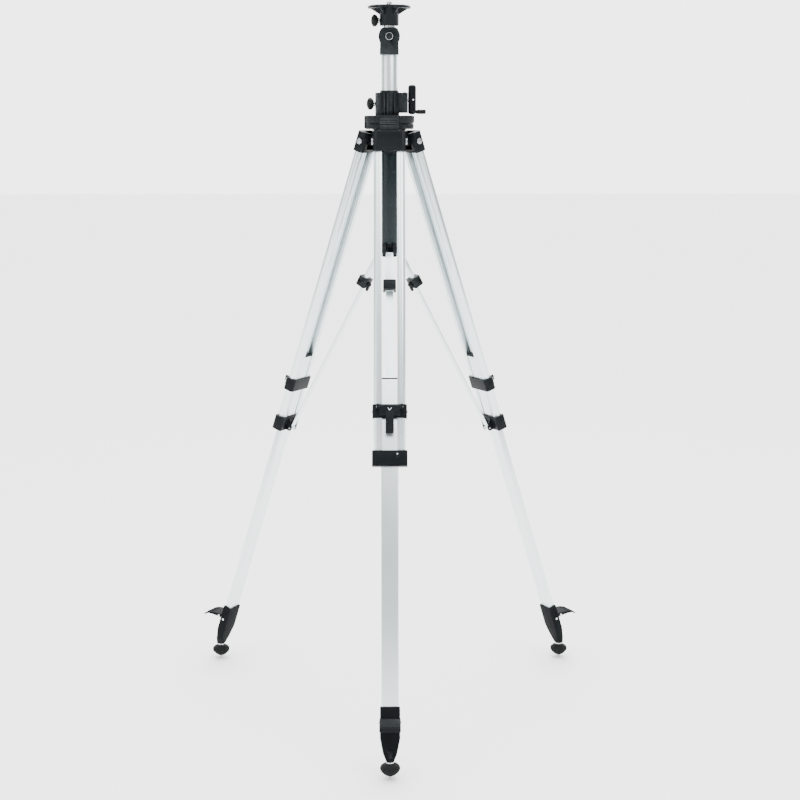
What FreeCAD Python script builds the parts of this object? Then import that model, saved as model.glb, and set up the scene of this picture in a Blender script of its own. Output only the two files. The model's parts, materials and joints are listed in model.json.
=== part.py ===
import FreeCAD, Part
import Sketcher
import math
import os
from types import SimpleNamespace

# Crank-up tripod for a rotating laser level. Millimetres and degrees.
# Origin: centre of the platform's top face. +Z is up, the front leg points towards -Y.
# Depths are measured down from the platform's top. Each leg, strut and foot has a frame of its own:
# X across it, -Y outwards from the column, -Z down along it.

driving = {
    # platform, screw and swivel
    "platform_radius": 59,
    "platform_thickness": 8,
    "platform_edge": 3,
    "screw_radius": 7.94,
    "screw_height": 11,
    "screw_chamfer": 1.4,
    "screw_root": 5,
    "screw_collar_radius": 9.5,
    "hub_wall": 9.8,
    "hub_bottom": 54,
    "gusset_reach": 50,
    "gusset_bottom": 24,
    "gusset_thickness": 5,
    "gusset_count": 6,
    "spigot_radius": 16.5,
    "spigot_top": 15,
    "platform_knob_depth": 40,
    # tilt joint
    "fork_top": 59,
    "fork_half_width": 24.5,
    "fork_shoulder": 64,
    "fork_half_depth": 22.5,
    "tilt_depth": 83,
    "tilt_disc_radius": 29.4,
    "tongue_half_depth": 10.2,
    "tongue_radius": 17,
    "tongue_shoulder": 108,
    "socket_lip": 2.8,
    "socket_top": 113.4,
    "tilt_bolt_radius": 5,
    "side_plate_thickness": 4,
    "side_plate_half_width": 25.4,
    "side_plate_shoulder": 70.5,
    "side_plate_top": 60.5,
    # column and its rack
    "column_radius": 23.5,
    "column_wall": 2.8,
    "column_top": 132,
    "column_bottom": 550,
    "plug_length": 20,
    "rack_depth": 1.5,
    "rack_rib_half_width": 8,
    "rack_half_width": 6,
    "rack_addendum": 1,
    "rack_top": 158.75,
    "rack_gap_count": 72,
    "gear_module": 1.25,
    "pinion_teeth": 12,
    "pinion_half_width": 5.5,
    # crank housing and crank
    "housing_top": 228,
    "housing_wall": 4,
    "housing_shoulder": 234,
    "housing_bottom": 296,
    "gearbox_bottom": 289,
    "gearbox_reach": 23.5,
    "gearbox_corner": 4,
    "clamp_block_reach": 11.5,
    "clamp_slit": 1.2,
    "housing_rib_width": 3.6,
    "housing_rib_height": 1.2,
    "crank_depth": 253,
    "shaft_radius": 5,
    "arm_gap": 1,
    "arm_thickness": 22.5,
    "arm_above": 41,
    "arm_below": 40,
    "arm_half_width": 9.5,
    "handle_drop": 33,
    "handle_radius": 6.5,
    "handle_pin_radius": 4,
    "handle_length": 27.5,
    "lock_knob_depth": 264,
    # knobs
    "knob_radius": 16.8,
    "knob_thickness": 17,
    "knob_neck": 6,
    "knob_stud_radius": 4,
    # head
    "ring_reach": 32.5,
    "ring_seam": 317,
    "ring_bottom": 333,
    "pad_half_width": 26,
    "boss_wall": 10,
    "boss_bottom": 386,
    "guide_play": 0.5,
    "guide_wall": 2,
    "guide_top": 340,
    "guide_bottom": 649,
    # leg hinges
    "hinge_reach": 33,
    "hinge_depth": 366,
    "leg_lean": 19.2,
    "lug_inset": 0.55,
    "lug_end_radius": 12,
    "hinge_bolt_radius": 5,
    "bolt_head_height": 5,
    # shoulders and rails
    "shoulder_margin": 0.25,
    "shoulder_front_wall": 4.7,
    "shoulder_back_wall": 1.7,
    "shoulder_top": 26,
    "shoulder_bottom": 30,
    "shoulder_wall": 4,
    "rail_overlap": 2.25,
    "rail_width": 23,
    "rail_wall": 2,
    "rail_bottom": 885,
    "rail_groove": 0.7,
    "tenon_length": 28,
    # inner tube
    "tube_half_width": 23,
    "tube_half_depth": 10,
    "tube_wall": 1.8,
    "tube_corner": 3,
    "tube_above_rail_end": 224,
    "tube_bottom": 1545,
    # clamp collar and lever
    "clamp_above_rail_end": 156,
    "clamp_height": 37,
    "collar_side_wall": 2.45,
    "collar_face_wall": 3.5,
    "collar_corner": 8,
    "lever_pivot": 8,
    "lever_pivot_out": 4.7,
    "lever_half_width": 28.5,
    "lever_bar_height": 27,
    "lever_thickness": 7.6,
    "lever_stem_half_width": 10.8,
    "lever_length": 75,
    "lever_pin_radius": 2.5,
    # end collar
    "end_collar_height": 33,
    "end_collar_lip": 9,
    "strut_pin_reach": 10.2,
    "strut_pin_radius": 3,
    # foot
    "foot_socket_length": 27,
    "foot_wall": 3,
    "foot_neck_radius": 9.25,
    "foot_shoulder_height": 100,
    "neck_height": 47,
    "pedal_height": 150,
    "pedal_reach": 43,
    "ankle_reach": 36.901,
    "ankle_height": 150.939,
    "thread_radius": 5,
    "collar_radius": 11.5,
    "collar_thickness": 3,
    "ball_radius": 26.5,
    "ball_bottom": 9,
    "ball_top": 41,
    # struts
    "hub_pin_reach": 4,
    "hub_pin_depth": 678,
    "strut_ear_inner": 10.4,
    "strut_ear_outer": 19,
    "strut_eye_radius": 6.5,
    "bar_side_play": 0.5,
    "channel_length": 115,
    "channel_in": 3.4,
    "channel_out": 6.6,
    "channel_wall": 1.4,
    "bar_half_width": 10.3,
    "bar_half_thickness": 1.5,
    "bar_start": 62,
    "strut_clamp_start": 84,
    "strut_clamp_length": 28,
    "strut_clamp_wall": 5.8,
    # clearances
    "fit_gap": 0.05,
    "slide_gap": 0.3,
}

leg_turns = {"front": 0, "left": -120, "right": 120}

doc = FreeCAD.newDocument("crank_up_tripod")
sheet = doc.addObject("Spreadsheet::Sheet", "Sizes")
bound = []
pieces = {}


class Size:
    """A number with the expression over the sheet that gives it."""

    def __init__(self, number, text):
        self.number = number
        self.text = text

    def __add__(self, other):
        other = size(other)
        return Size(self.number + other.number, "(%s + %s)" % (self.text, other.text))

    def __sub__(self, other):
        other = size(other)
        return Size(self.number - other.number, "(%s - %s)" % (self.text, other.text))

    def __mul__(self, other):
        other = size(other)
        return Size(self.number * other.number, "(%s * %s)" % (self.text, other.text))

    def __truediv__(self, other):
        other = size(other)
        return Size(self.number / other.number, "(%s / %s)" % (self.text, other.text))

    def __neg__(self):
        return Size(-self.number, "(0 - %s)" % self.text)

    __radd__ = __add__
    __rmul__ = __mul__

    def __rsub__(self, other):
        return size(other) - self


def size(value):
    """Take a plain number as a size."""
    return value if isinstance(value, Size) else Size(float(value), repr(value))


def sine(angle):
    return Size(math.sin(math.radians(angle.number)), "sin(%s)" % angle.text)


def cosine(angle):
    return Size(math.cos(math.radians(angle.number)), "cos(%s)" % angle.text)


def root(value):
    return Size(math.sqrt(value.number), "sqrt(%s)" % value.text)


def arc_tangent(ratio):
    return Size(math.degrees(math.atan(ratio.number)), "(atan(%s) / 1 deg)" % ratio.text)


def fill_sheet():
    """Write the driving sizes to the sheet and give back one Size for each."""
    for row, (alias, value) in enumerate(driving.items(), 1):
        sheet.set("A%d" % row, alias)
        sheet.set("B%d" % row, str(value))
        sheet.setAlias("B%d" % row, alias)
    doc.recompute()
    sizes = {alias: Size(float(value), "Sizes." + alias) for alias, value in driving.items()}
    return SimpleNamespace(**sizes)


def bind(item, path, value):
    """Bind one property of an object to a size."""
    value = size(value)
    item.setExpression(path, value.text)
    bound.append((item, path, value.number))


class Frame:
    """A place in the tripod, as an expression and as a placement."""

    def __init__(self, x=0, y=0, z=0, yaw=0, pitch=0, roll=0):
        parts = [size(value) for value in (x, y, z, yaw, pitch, roll)]
        self.text = ("create(<<placement>>; create(<<vector>>; %s; %s; %s); create(<<rotation>>; %s; %s; %s))"
                     % tuple(part.text for part in parts))
        numbers = [part.number for part in parts]
        self.placement = FreeCAD.Placement(FreeCAD.Vector(*numbers[:3]), FreeCAD.Rotation(*numbers[3:]))

    def __mul__(self, other):
        product = Frame()
        product.text = self.text + " * " + other.text
        product.placement = self.placement * other.placement
        return product


def fix_point(sketch, geometry, end, x, y):
    """Constrain a point of a sketch to a place in its plane."""
    for kind, axis, value in (("DistanceX", -2, size(x)), ("DistanceY", -1, size(y))):
        if value.text == "0":
            sketch.addConstraint(Sketcher.Constraint("PointOnObject", geometry, end, axis))
            continue
        index = sketch.addConstraint(Sketcher.Constraint(kind, -1, 1, geometry, end, value.number))
        name = "%s_%d" % (kind[-1].lower(), index)
        sketch.renameConstraint(index, name)
        sketch.setExpression("Constraints." + name, value.text)


def polygon(points):
    """A closed loop of straight lines."""
    points = [(size(x), size(y)) for x, y in points]

    def draw(sketch):
        first = sketch.GeometryCount
        count = len(points)
        for index in range(count):
            start, end = points[index], points[(index + 1) % count]
            sketch.addGeometry(Part.LineSegment(FreeCAD.Vector(start[0].number, start[1].number, 0),
                                                FreeCAD.Vector(end[0].number, end[1].number, 0)))
        for index in range(count):
            following = first + (index + 1) % count
            sketch.addConstraint(Sketcher.Constraint("Coincident", first + index, 2, following, 1))
        for index, (x, y) in enumerate(points):
            fix_point(sketch, first + index, 1, x, y)
    return draw


def rectangle(left, right, low, high):
    return polygon([(left, low), (right, low), (right, high), (left, high)])


def circle(radius, x=0, y=0):
    """A full circle."""
    radius, x, y = size(radius), size(x), size(y)

    def draw(sketch):
        index = sketch.addGeometry(Part.Circle(FreeCAD.Vector(x.number, y.number, 0),
                                               FreeCAD.Vector(0, 0, 1), radius.number))
        fix_point(sketch, index, 3, x, y)
        constraint = sketch.addConstraint(Sketcher.Constraint("Radius", index, radius.number))
        name = "radius_%d" % constraint
        sketch.renameConstraint(constraint, name)
        sketch.setExpression("Constraints." + name, radius.text)
    return draw


def hexagon(across_flats, x=0, y=0):
    """A hexagon with two flats parallel to the sketch's vertical axis."""
    flat = size(across_flats) / 2
    corner = flat * 1.1547
    return polygon([(x + flat, y - corner / 2), (x + flat, y + corner / 2), (x, y + corner),
                    (x - flat, y + corner / 2), (x - flat, y - corner / 2), (x, y - corner)])


def mirrored(loop_maker):
    """The same loop on both sides of the middle plane."""
    return [loop_maker(1), loop_maker(-1)]


class Piece:
    """One sub-part: a body built up from sketched features and placed in the tripod."""

    def __init__(self, label, frame=None):
        self.body = doc.addObject("PartDesign::Body", label)
        self.body.Label = label
        self.body.AllowCompound = True
        self.frame = frame
        if frame:
            self.body.setExpression("Placement", frame.text)
        pieces[label] = self

    def sketch(self, plane, start, loops):
        sketch = self.body.newObject("Sketcher::SketchObject", "Sketch")
        role = plane + "_Plane"
        support = next(item for item in self.body.Origin.OriginFeatures if item.Role == role)
        sketch.AttachmentSupport = [(support, "")]
        sketch.MapMode = "FlatFace"
        bind(sketch, "AttachmentOffset.Base.z", start)
        for loop in loops:
            loop(sketch)
        return sketch

    def pad(self, plane, start, end, *loops):
        """Add material between two distances along the plane's normal."""
        feature = self.body.newObject("PartDesign::Pad", "Pad")
        feature.Profile = self.sketch(plane, start, loops)
        bind(feature, "Length", size(end) - size(start))
        return feature

    def pocket(self, plane, start, end, *loops):
        """Cut material away between two distances along the plane's normal."""
        feature = self.body.newObject("PartDesign::Pocket", "Pocket")
        feature.Profile = self.sketch(plane, start, loops)
        feature.Reversed = True
        bind(feature, "Length", size(end) - size(start))
        cuts.append((self, feature))
        return feature

    def turn(self, *points):
        """Add a turned shape about the body's Z axis from (radius, height) points."""
        feature = self.body.newObject("PartDesign::Revolution", "Revolution")
        feature.Profile = self.sketch("XZ", 0, [polygon(points)])
        feature.ReferenceAxis = (feature.Profile[0], ["V_Axis"])
        feature.Angle = 360
        return feature

    def groove(self, *points):
        """Cut a turned shape about the body's Z axis."""
        feature = self.body.newObject("PartDesign::Groove", "Groove")
        feature.Profile = self.sketch("XZ", 0, [polygon(points)])
        feature.ReferenceAxis = (feature.Profile[0], ["V_Axis"])
        feature.Angle = 360
        cuts.append((self, feature))
        return feature

    def fillet(self, radius, picks):
        """Round the edges that picks accepts; it is given each edge's two ends and its middle."""
        doc.recompute()
        base = self.body.Tip
        names = []
        for number, edge in enumerate(base.Shape.Edges, 1):
            ends = [vertex.Point for vertex in edge.Vertexes]
            if len(ends) == 2 and picks(ends[0], ends[1], edge.CenterOfMass):
                names.append("Edge%d" % number)
        feature = self.body.newObject("PartDesign::Fillet", "Fillet")
        feature.Base = (base, names)
        bind(feature, "Radius", radius)
        return feature

    def around(self, feature, count):
        """Repeat a feature around the body's Z axis."""
        doc.recompute()
        pattern = self.body.newObject("PartDesign::PolarPattern", "PolarPattern")
        pattern.Originals = [feature]
        axis = next(item for item in self.body.Origin.OriginFeatures if item.Role == "Z_Axis")
        pattern.Axis = (axis, [""])
        pattern.Angle = 360
        bind(pattern, "Occurrences", count)
        self.body.Tip = pattern
        return pattern

    def down(self, feature, count, step):
        """Repeat a feature in a row down the sketch's vertical axis."""
        doc.recompute()
        pattern = self.body.newObject("PartDesign::LinearPattern", "LinearPattern")
        pattern.Originals = [feature]
        pattern.Direction = (feature.Profile[0], ["V_Axis"])
        pattern.Reversed = True
        bind(pattern, "Length", step * (count - 1))
        bind(pattern, "Occurrences", count)
        self.body.Tip = pattern
        return pattern


cuts = []
s = fill_sheet()


def derive_sizes():
    """Add the sizes that follow from the driving ones, so that pieces that fit each other change together."""
    s.hub_radius = s.spigot_radius + s.hub_wall
    s.socket_radius = s.column_radius + s.socket_lip
    s.side_plate_inner = s.fork_half_depth + s.slide_gap
    s.side_plate_outer = s.side_plate_inner + s.side_plate_thickness
    s.rack_pitch_line = s.column_radius - s.rack_depth
    s.housing_radius = s.column_radius + s.housing_wall
    s.gearbox_half_side = s.housing_radius + s.gearbox_reach
    s.clamp_block_side = s.housing_radius + s.clamp_block_reach
    s.arm_start = s.gearbox_half_side + s.arm_gap
    s.arm_end = s.arm_start + s.arm_thickness
    s.handle_end = s.arm_end + s.handle_length
    s.guide_radius = s.column_radius + s.guide_play + s.guide_wall
    s.boss_radius = s.guide_radius + s.boss_wall
    s.ring_radius = s.boss_radius + s.ring_reach
    s.hinge_radius = s.boss_radius + s.hinge_reach
    s.rail_inner = s.tube_half_width - s.rail_overlap
    s.rail_outer = s.rail_inner + s.rail_width
    s.rail_half_depth = s.tube_half_depth + s.slide_gap + s.rail_wall
    s.lug_half_width = s.rail_inner - s.lug_inset
    s.shoulder_half_width = s.rail_outer + s.shoulder_margin
    s.shoulder_front = s.rail_half_depth + s.shoulder_front_wall
    s.shoulder_back = s.rail_half_depth + s.shoulder_back_wall
    s.collar_half_width = s.rail_outer + s.collar_side_wall
    s.collar_half_depth = s.rail_half_depth + s.collar_face_wall
    s.tube_top = s.rail_bottom - s.tube_above_rail_end
    s.clamp_top = s.rail_bottom - s.clamp_above_rail_end
    s.end_collar_top = s.rail_bottom - s.end_collar_height
    s.strut_pin_in = s.collar_half_depth + s.strut_pin_reach
    s.foot_width = (s.tube_half_width + s.foot_wall) * 2
    s.spike_radius = s.hinge_radius + s.tube_bottom * sine(s.leg_lean) + s.ankle_reach
    s.stand_height = s.hinge_depth + s.tube_bottom * cosine(s.leg_lean) + s.ankle_height
    s.hub_pin_radius = s.guide_radius + s.hub_pin_reach
    s.channel_half_width = s.bar_half_width + s.bar_side_play + s.channel_wall
    s.strut_clamp_half_width = s.channel_half_width + s.strut_clamp_wall


derive_sizes()


def lengthwise(first, last, middle):
    """True for an edge that runs along Z."""
    return abs(first.x - last.x) < 0.01 and abs(first.y - last.y) < 0.01 and abs(first.z - last.z) > 1


# ---- platform ----

def make_platform():
    """The round table that carries the laser, with its swivel hub below."""
    piece = Piece("platform")
    rim = s.platform_radius
    bore = s.spigot_radius + s.fit_gap
    piece.turn((0, 0), (rim - s.platform_edge, 0), (rim, -s.platform_edge), (rim, -s.platform_thickness + 1),
               (rim - 1, -s.platform_thickness), (s.hub_radius, -s.platform_thickness),
               (s.hub_radius, 1 - s.hub_bottom), (s.hub_radius - 1, -s.hub_bottom),
               (bore, -s.hub_bottom), (bore, 1 - s.spigot_top), (0, 1 - s.spigot_top))
    half = s.gusset_thickness / 2
    gusset = piece.pad("XZ", -half, half,
                       polygon([(s.hub_radius - 2, 1 - s.platform_thickness),
                                (s.gusset_reach, 1 - s.platform_thickness),
                                (s.gusset_reach, -s.platform_thickness - 1),
                                (s.hub_radius, -s.gusset_bottom), (s.hub_radius - 2, -s.gusset_bottom)]))
    piece.around(gusset, s.gusset_count)
    piece.pocket("XY", -s.screw_root, 1, circle(s.screw_collar_radius))
    hole = s.knob_stud_radius + s.fit_gap
    piece.pocket("YZ", -s.hub_radius - 2, 1 - s.spigot_radius, circle(hole, 0, -s.platform_knob_depth))


def make_laser_screw():
    """The 5/8 inch stud that screws into the laser, on a collar that is flush with the table."""
    piece = Piece("laser_screw")
    collar = s.screw_collar_radius
    piece.turn((0, -s.screw_root), (collar, -s.screw_root), (collar, 0), (s.screw_radius, 0),
               (s.screw_radius, s.screw_height - s.screw_chamfer),
               (s.screw_radius - s.screw_chamfer, s.screw_height), (0, s.screw_height))


def knob(label, frame, reach, lobes):
    """A lobed hand knob with a conical neck and a steel stud; its grip starts at the frame."""
    piece = Piece(label, frame)
    neck = s.knob_stud_radius + 2.5
    piece.turn((0, -reach), (s.knob_stud_radius - 0.8, -reach), (s.knob_stud_radius, 1 - reach),
               (s.knob_stud_radius, 0), (neck, 0), (neck + 3, s.knob_neck),
               (s.knob_radius - 3, s.knob_neck), (s.knob_radius, s.knob_neck + 3),
               (s.knob_radius, s.knob_neck + s.knob_thickness - 4),
               (s.knob_radius - 4, s.knob_neck + s.knob_thickness), (0, s.knob_neck + s.knob_thickness))
    flute = piece.pocket("XY", s.knob_neck - 1, s.knob_neck + s.knob_thickness + 1,
                         circle(3.2, s.knob_radius + 1.6, 0))
    piece.around(flute, lobes)
    return piece


def make_platform_knob():
    """The knob that clamps the platform on its spigot."""
    face = s.hub_radius + 1
    reach = face - s.spigot_radius - s.slide_gap
    knob("platform_knob", Frame(-face, 0, -s.platform_knob_depth, 0, -90, 0), reach, 8)


# ---- tilt joint ----

def make_tilt_fork():
    """The forked block with the steel spigot that the platform swivels on."""
    piece = Piece("tilt_fork")
    half = s.fork_half_width
    depth = s.fork_half_depth
    cheek_gap = s.tongue_half_depth + s.slide_gap
    piece.pad("XZ", -depth, depth,
              polygon([(-s.spigot_radius, -s.fork_top), (s.spigot_radius, -s.fork_top),
                       (half, -s.fork_shoulder), (half, -s.tilt_depth), (-half, -s.tilt_depth),
                       (-half, -s.fork_shoulder)]))
    piece.pad("XZ", -depth, depth, circle(s.tilt_disc_radius, 0, -s.tilt_depth))
    trim = s.tilt_disc_radius + 1
    for side in (1, -1):
        piece.pocket("XZ", -depth - 1, depth + 1,
                     polygon([(side * half, -s.fork_shoulder - 2), (side * half, -s.fork_shoulder),
                              (side * s.spigot_radius, -s.fork_top), (side * 4, -s.fork_top),
                              (side * 4, trim - s.tilt_depth), (side * trim, trim - s.tilt_depth),
                              (side * trim, -s.fork_shoulder - 2)]))
    piece.pocket("XZ", -depth - 1, depth + 1, rectangle(-5, 5, -s.fork_top, trim - s.tilt_depth))
    tongue_top = s.tongue_radius + s.slide_gap * 2 - s.tilt_depth
    piece.pocket("XZ", -cheek_gap, cheek_gap,
                 rectangle(-trim, trim, -trim - s.tilt_depth, tongue_top))
    piece.pad("XY", -s.fork_top - 1, -s.spigot_top, circle(s.spigot_radius))
    piece.pocket("XZ", -depth - 1, depth + 1, circle(s.tilt_bolt_radius + s.fit_gap, 0, -s.tilt_depth))


def make_tilt_socket():
    """The cap on the column with the tongue that the fork tilts on, and a plate outside each cheek."""
    piece = Piece("tilt_socket")
    plug = s.column_radius - s.column_wall - s.fit_gap
    rim = s.socket_radius
    low = -s.column_top - s.plug_length
    piece.turn((0, -s.socket_top), (rim - 1, -s.socket_top), (rim, -s.socket_top - 1),
               (rim, 1 - s.column_top), (rim - 1, -s.column_top), (plug, -s.column_top),
               (plug, low), (0, low))
    tongue = s.tongue_half_depth
    wide = s.tongue_radius
    root_depth = -s.socket_top - 1
    piece.pad("XZ", -tongue, tongue, circle(wide, 0, -s.tilt_depth))
    piece.pad("XZ", -tongue, tongue, rectangle(-wide, wide, root_depth, -s.tilt_depth))
    flank = wide + 5
    piece.pad("XZ", -tongue, tongue, rectangle(-flank, flank, root_depth, -s.tongue_shoulder))
    plate = s.side_plate_half_width
    outline = polygon([(-plate, 1 - s.column_top), (plate, 1 - s.column_top), (plate, -s.side_plate_shoulder),
                       (plate - 8, -s.side_plate_top), (8 - plate, -s.side_plate_top),
                       (-plate, -s.side_plate_shoulder)])
    piece.pad("XZ", s.side_plate_inner, s.side_plate_outer, outline)
    piece.pad("XZ", -s.side_plate_outer, -s.side_plate_inner, outline)
    rib = s.rack_rib_half_width + s.fit_gap
    piece.pocket("XY", low - 1, -s.column_top,
                 rectangle(-rib, rib, s.rack_pitch_line - 6.5, s.column_radius))
    outer = s.side_plate_outer + 1
    piece.pocket("XZ", -outer, outer, circle(s.tilt_bolt_radius + s.fit_gap, 0, -s.tilt_depth))


def make_tilt_bolt():
    """The tilt joint's pivot bolt with its washer, hex head and threaded end."""
    piece = Piece("tilt_bolt")
    front = s.side_plate_outer + s.slide_gap
    piece.pad("XZ", -front - 9, front + 1, circle(s.tilt_bolt_radius, 0, -s.tilt_depth))
    piece.pad("XZ", front, front + 2, circle(10.5, 0, -s.tilt_depth))
    piece.pad("XZ", front + 2, front + 7, hexagon(13, 0, -s.tilt_depth))


def make_tilt_knob():
    """The knob behind the tilt joint that clamps it."""
    piece = Piece("tilt_knob", Frame(0, s.side_plate_outer, -s.tilt_depth, 0, 0, -90))
    piece.turn((s.tilt_bolt_radius + s.fit_gap, 0.5), (11, 0.5), (13, 5), (19, 6.5), (19, 17), (15, 20),
               (0, 20), (0, 9.5), (s.tilt_bolt_radius + s.fit_gap, 9.5))
    flute = piece.pocket("XY", 5, 21, circle(4.5, 22, 0))
    piece.around(flute, 5)


# ---- column ----

def make_column_tube():
    """The silver column: a tube with an inner rib, and a rack cut down its back."""
    piece = Piece("column_tube")
    inner = s.column_radius - s.column_wall
    piece.pad("XY", -s.column_bottom, -s.column_top, circle(s.column_radius), circle(inner))
    piece.pad("XY", -s.column_bottom, -s.column_top,
              rectangle(-s.rack_rib_half_width, s.rack_rib_half_width, s.rack_pitch_line - 6, inner - 0.5))
    pitch = s.gear_module * math.pi
    mouth = pitch * 0.43
    bottom = pitch * 0.17
    gap = piece.pocket("YZ", -s.rack_half_width, s.rack_half_width,
                       polygon([(s.rack_pitch_line - s.gear_module * 1.5, -s.rack_top - bottom),
                                (s.column_radius + 1, -s.rack_top - mouth),
                                (s.column_radius + 1, -s.rack_top + mouth),
                                (s.rack_pitch_line - s.gear_module * 1.5, -s.rack_top + bottom)]))
    piece.down(gap, s.rack_gap_count, pitch)
    crest = s.rack_pitch_line + s.rack_addendum
    piece.pocket("XY", -s.rack_top - pitch * s.rack_gap_count, -s.rack_top + pitch,
                 rectangle(-s.rack_half_width, s.rack_half_width, crest, s.column_radius + 1))


def make_guide_tube():
    """The black tube below the head that the column sinks into."""
    piece = Piece("guide_tube")
    outer = s.guide_radius
    piece.pad("XY", -s.guide_bottom, -s.guide_top, circle(outer), circle(outer - s.guide_wall))


# ---- crank ----

def crank_axis():
    """How far behind the column's axis the crank shaft lies."""
    return s.rack_pitch_line + s.gear_module * s.pinion_teeth / 2


def make_crank_housing():
    """The housing that the column slides in, with its clamp block and gearbox."""
    piece = Piece("crank_housing")
    behind = crank_axis()
    back = behind + 14
    corner = s.gearbox_corner
    piece.turn((0, -s.housing_bottom), (s.housing_radius, -s.housing_bottom),
               (s.housing_radius, -s.housing_shoulder), (s.housing_radius - 3, -s.housing_top),
               (0, -s.housing_top))
    piece.pad("XY", -s.housing_bottom, -s.housing_shoulder,
              polygon([(-s.clamp_block_side, -9), (-s.clamp_block_side + 5, -16), (-15, -19), (-15, 20),
                       (-s.clamp_block_side + 5, 16), (-s.clamp_block_side, 9)]))
    piece.pad("XY", -s.gearbox_bottom, -s.housing_shoulder,
              polygon([(15, -18), (27, -15), (s.gearbox_half_side - 3, -9), (s.gearbox_half_side, -5),
                       (s.gearbox_half_side, back - corner), (s.gearbox_half_side - corner, back),
                       (corner - 22, back), (-22, back - corner), (-22, 10), (15, 10)]))
    half_rib = s.housing_rib_width / 2
    rib_front = -s.housing_radius - s.housing_rib_height
    for place in (-14, -4.5, 5, 14.5):
        piece.pad("XY", -s.housing_bottom, -s.housing_shoulder - 1,
                  rectangle(place - half_rib, place + half_rib, rib_front, -15))
    piece.pocket("XY", -s.housing_bottom - 1, 1 - s.housing_top, circle(s.column_radius + s.slide_gap))
    chamber = s.gear_module * (s.pinion_teeth + 2) / 2 + 0.8
    width = s.pinion_half_width + 1
    slit = s.knob_stud_radius + 1.4
    piece.pocket("YZ", -width, width, circle(chamber, behind, -s.crank_depth))
    piece.pocket("YZ", -18, s.gearbox_half_side + 1,
                 circle(s.shaft_radius + s.fit_gap, behind, -s.crank_depth))
    piece.pocket("YZ", -s.clamp_block_side - 1, -s.column_radius + 1,
                 circle(s.knob_stud_radius + s.fit_gap, 0, -s.lock_knob_depth))
    piece.pocket("XY", -s.housing_bottom - 1, -s.housing_shoulder + 1,
                 rectangle(-s.clamp_block_side - 1, -s.column_radius + 1, slit, slit + s.clamp_slit))


def make_crank_shaft():
    """The crank's shaft with its pinion, which lifts the column by its rack."""
    piece = Piece("crank_shaft", Frame(0, crank_axis(), -s.crank_depth, 90, 0, 90))
    pitch_radius = s.gear_module * s.pinion_teeth / 2
    tip = pitch_radius + s.gear_module
    base = pitch_radius - s.gear_module * 1.25
    half = s.pinion_half_width
    piece.turn((0, -17), (s.shaft_radius, -17), (s.shaft_radius, -half), (base, -half), (base, half),
               (s.shaft_radius, half), (s.shaft_radius, s.arm_end - 2), (0, s.arm_end - 2))
    at_base, at_pitch, at_tip = s.gear_module * 0.85, s.gear_module * 0.55, s.gear_module * 0.25
    tooth = piece.pad("XY", -half, half,
                      polygon([(0.5 - base, -at_base), (-base, -at_base), (-pitch_radius, -at_pitch),
                               (-tip, -at_tip), (-tip, at_tip), (-pitch_radius, at_pitch),
                               (-base, at_base), (0.5 - base, at_base)]))
    piece.around(tooth, s.pinion_teeth)


def make_crank_arm():
    """The crank arm, keyed on the shaft's end."""
    piece = Piece("crank_arm")
    middle = crank_axis()
    low = -s.crank_depth - s.arm_below
    high = s.arm_above - s.crank_depth
    piece.pad("YZ", s.arm_start, s.arm_end,
              rectangle(middle - s.arm_half_width, middle + s.arm_half_width, low, high))
    reach = s.arm_end + 1
    piece.pocket("XZ", -middle - s.arm_half_width - 1, s.arm_half_width + 1 - middle,
                 polygon([(s.arm_end - 4, high + 1), (reach, high + 1), (reach, -s.crank_depth + 6),
                          (s.arm_end, -s.crank_depth + 6)]))
    piece.fillet(s.arm_half_width - 0.5, lambda first, last, at: abs(first.y - last.y) < 0.01
                 and abs(first.z - last.z) < 0.01 and abs(first.x - last.x) > 5)
    piece.pocket("YZ", s.arm_start - 1, s.arm_end - 2,
                 circle(s.shaft_radius + s.fit_gap, middle, -s.crank_depth))
    piece.pocket("YZ", s.arm_end - 8, s.arm_end + 1,
                 circle(s.handle_pin_radius + s.fit_gap, middle, -s.crank_depth - s.handle_drop))


def make_crank_handle():
    """The crank's turning grip on its pin."""
    piece = Piece("crank_handle", Frame(s.arm_end, crank_axis(), -s.crank_depth - s.handle_drop, 90, 0, 90))
    length = s.handle_end - s.arm_end
    pin = s.handle_pin_radius
    piece.turn((0, -7), (pin, -7), (pin, s.slide_gap), (s.handle_radius - 1.5, s.slide_gap),
               (s.handle_radius - 1, 3), (s.handle_radius, length - 7), (s.handle_radius, length - 2.5),
               (s.handle_radius - 2.5, length), (0, length))


def make_column_lock_knob():
    """The knob that clamps the column in its housing."""
    face = s.clamp_block_side + 1
    reach = face - s.column_radius - s.slide_gap * 2
    knob("column_lock_knob", Frame(-face, 0, -s.lock_knob_depth, 0, -90, 0), reach, 8)


# ---- head ----

def make_head_ring():
    """The round head plate in two layers, with a ribbed finger pad at the front."""
    piece = Piece("head_ring")
    rim = s.ring_radius
    bore = s.column_radius + s.slide_gap * 2
    piece.turn((bore, -s.housing_bottom), (rim - 1.5, -s.housing_bottom), (rim, -s.housing_bottom - 1.5),
               (rim, 1.5 - s.ring_seam), (rim - 2.5, -s.ring_seam), (rim - 1.5, -s.ring_seam - 1.5),
               (rim - 1.5, 2 - s.ring_bottom), (rim - 3.5, -s.ring_bottom), (bore, -s.ring_bottom))
    pad_low = -s.ring_bottom - 2.5
    piece.pad("XZ", rim - 8, rim + 1.5, rectangle(-s.pad_half_width, s.pad_half_width, pad_low,
                                                  -s.housing_bottom - 1))
    for depth in (s.ring_seam - 8, s.ring_seam + 1.5):
        piece.pocket("XZ", rim - 1.5, rim + 2,
                     rectangle(-s.pad_half_width - 1, s.pad_half_width + 1, -depth - 3.5, -depth))
    piece.pad("XY", -s.ring_seam - 14, -s.housing_bottom - 2, rectangle(-rim - 0.8, -rim + 4, -16, 16))


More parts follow.
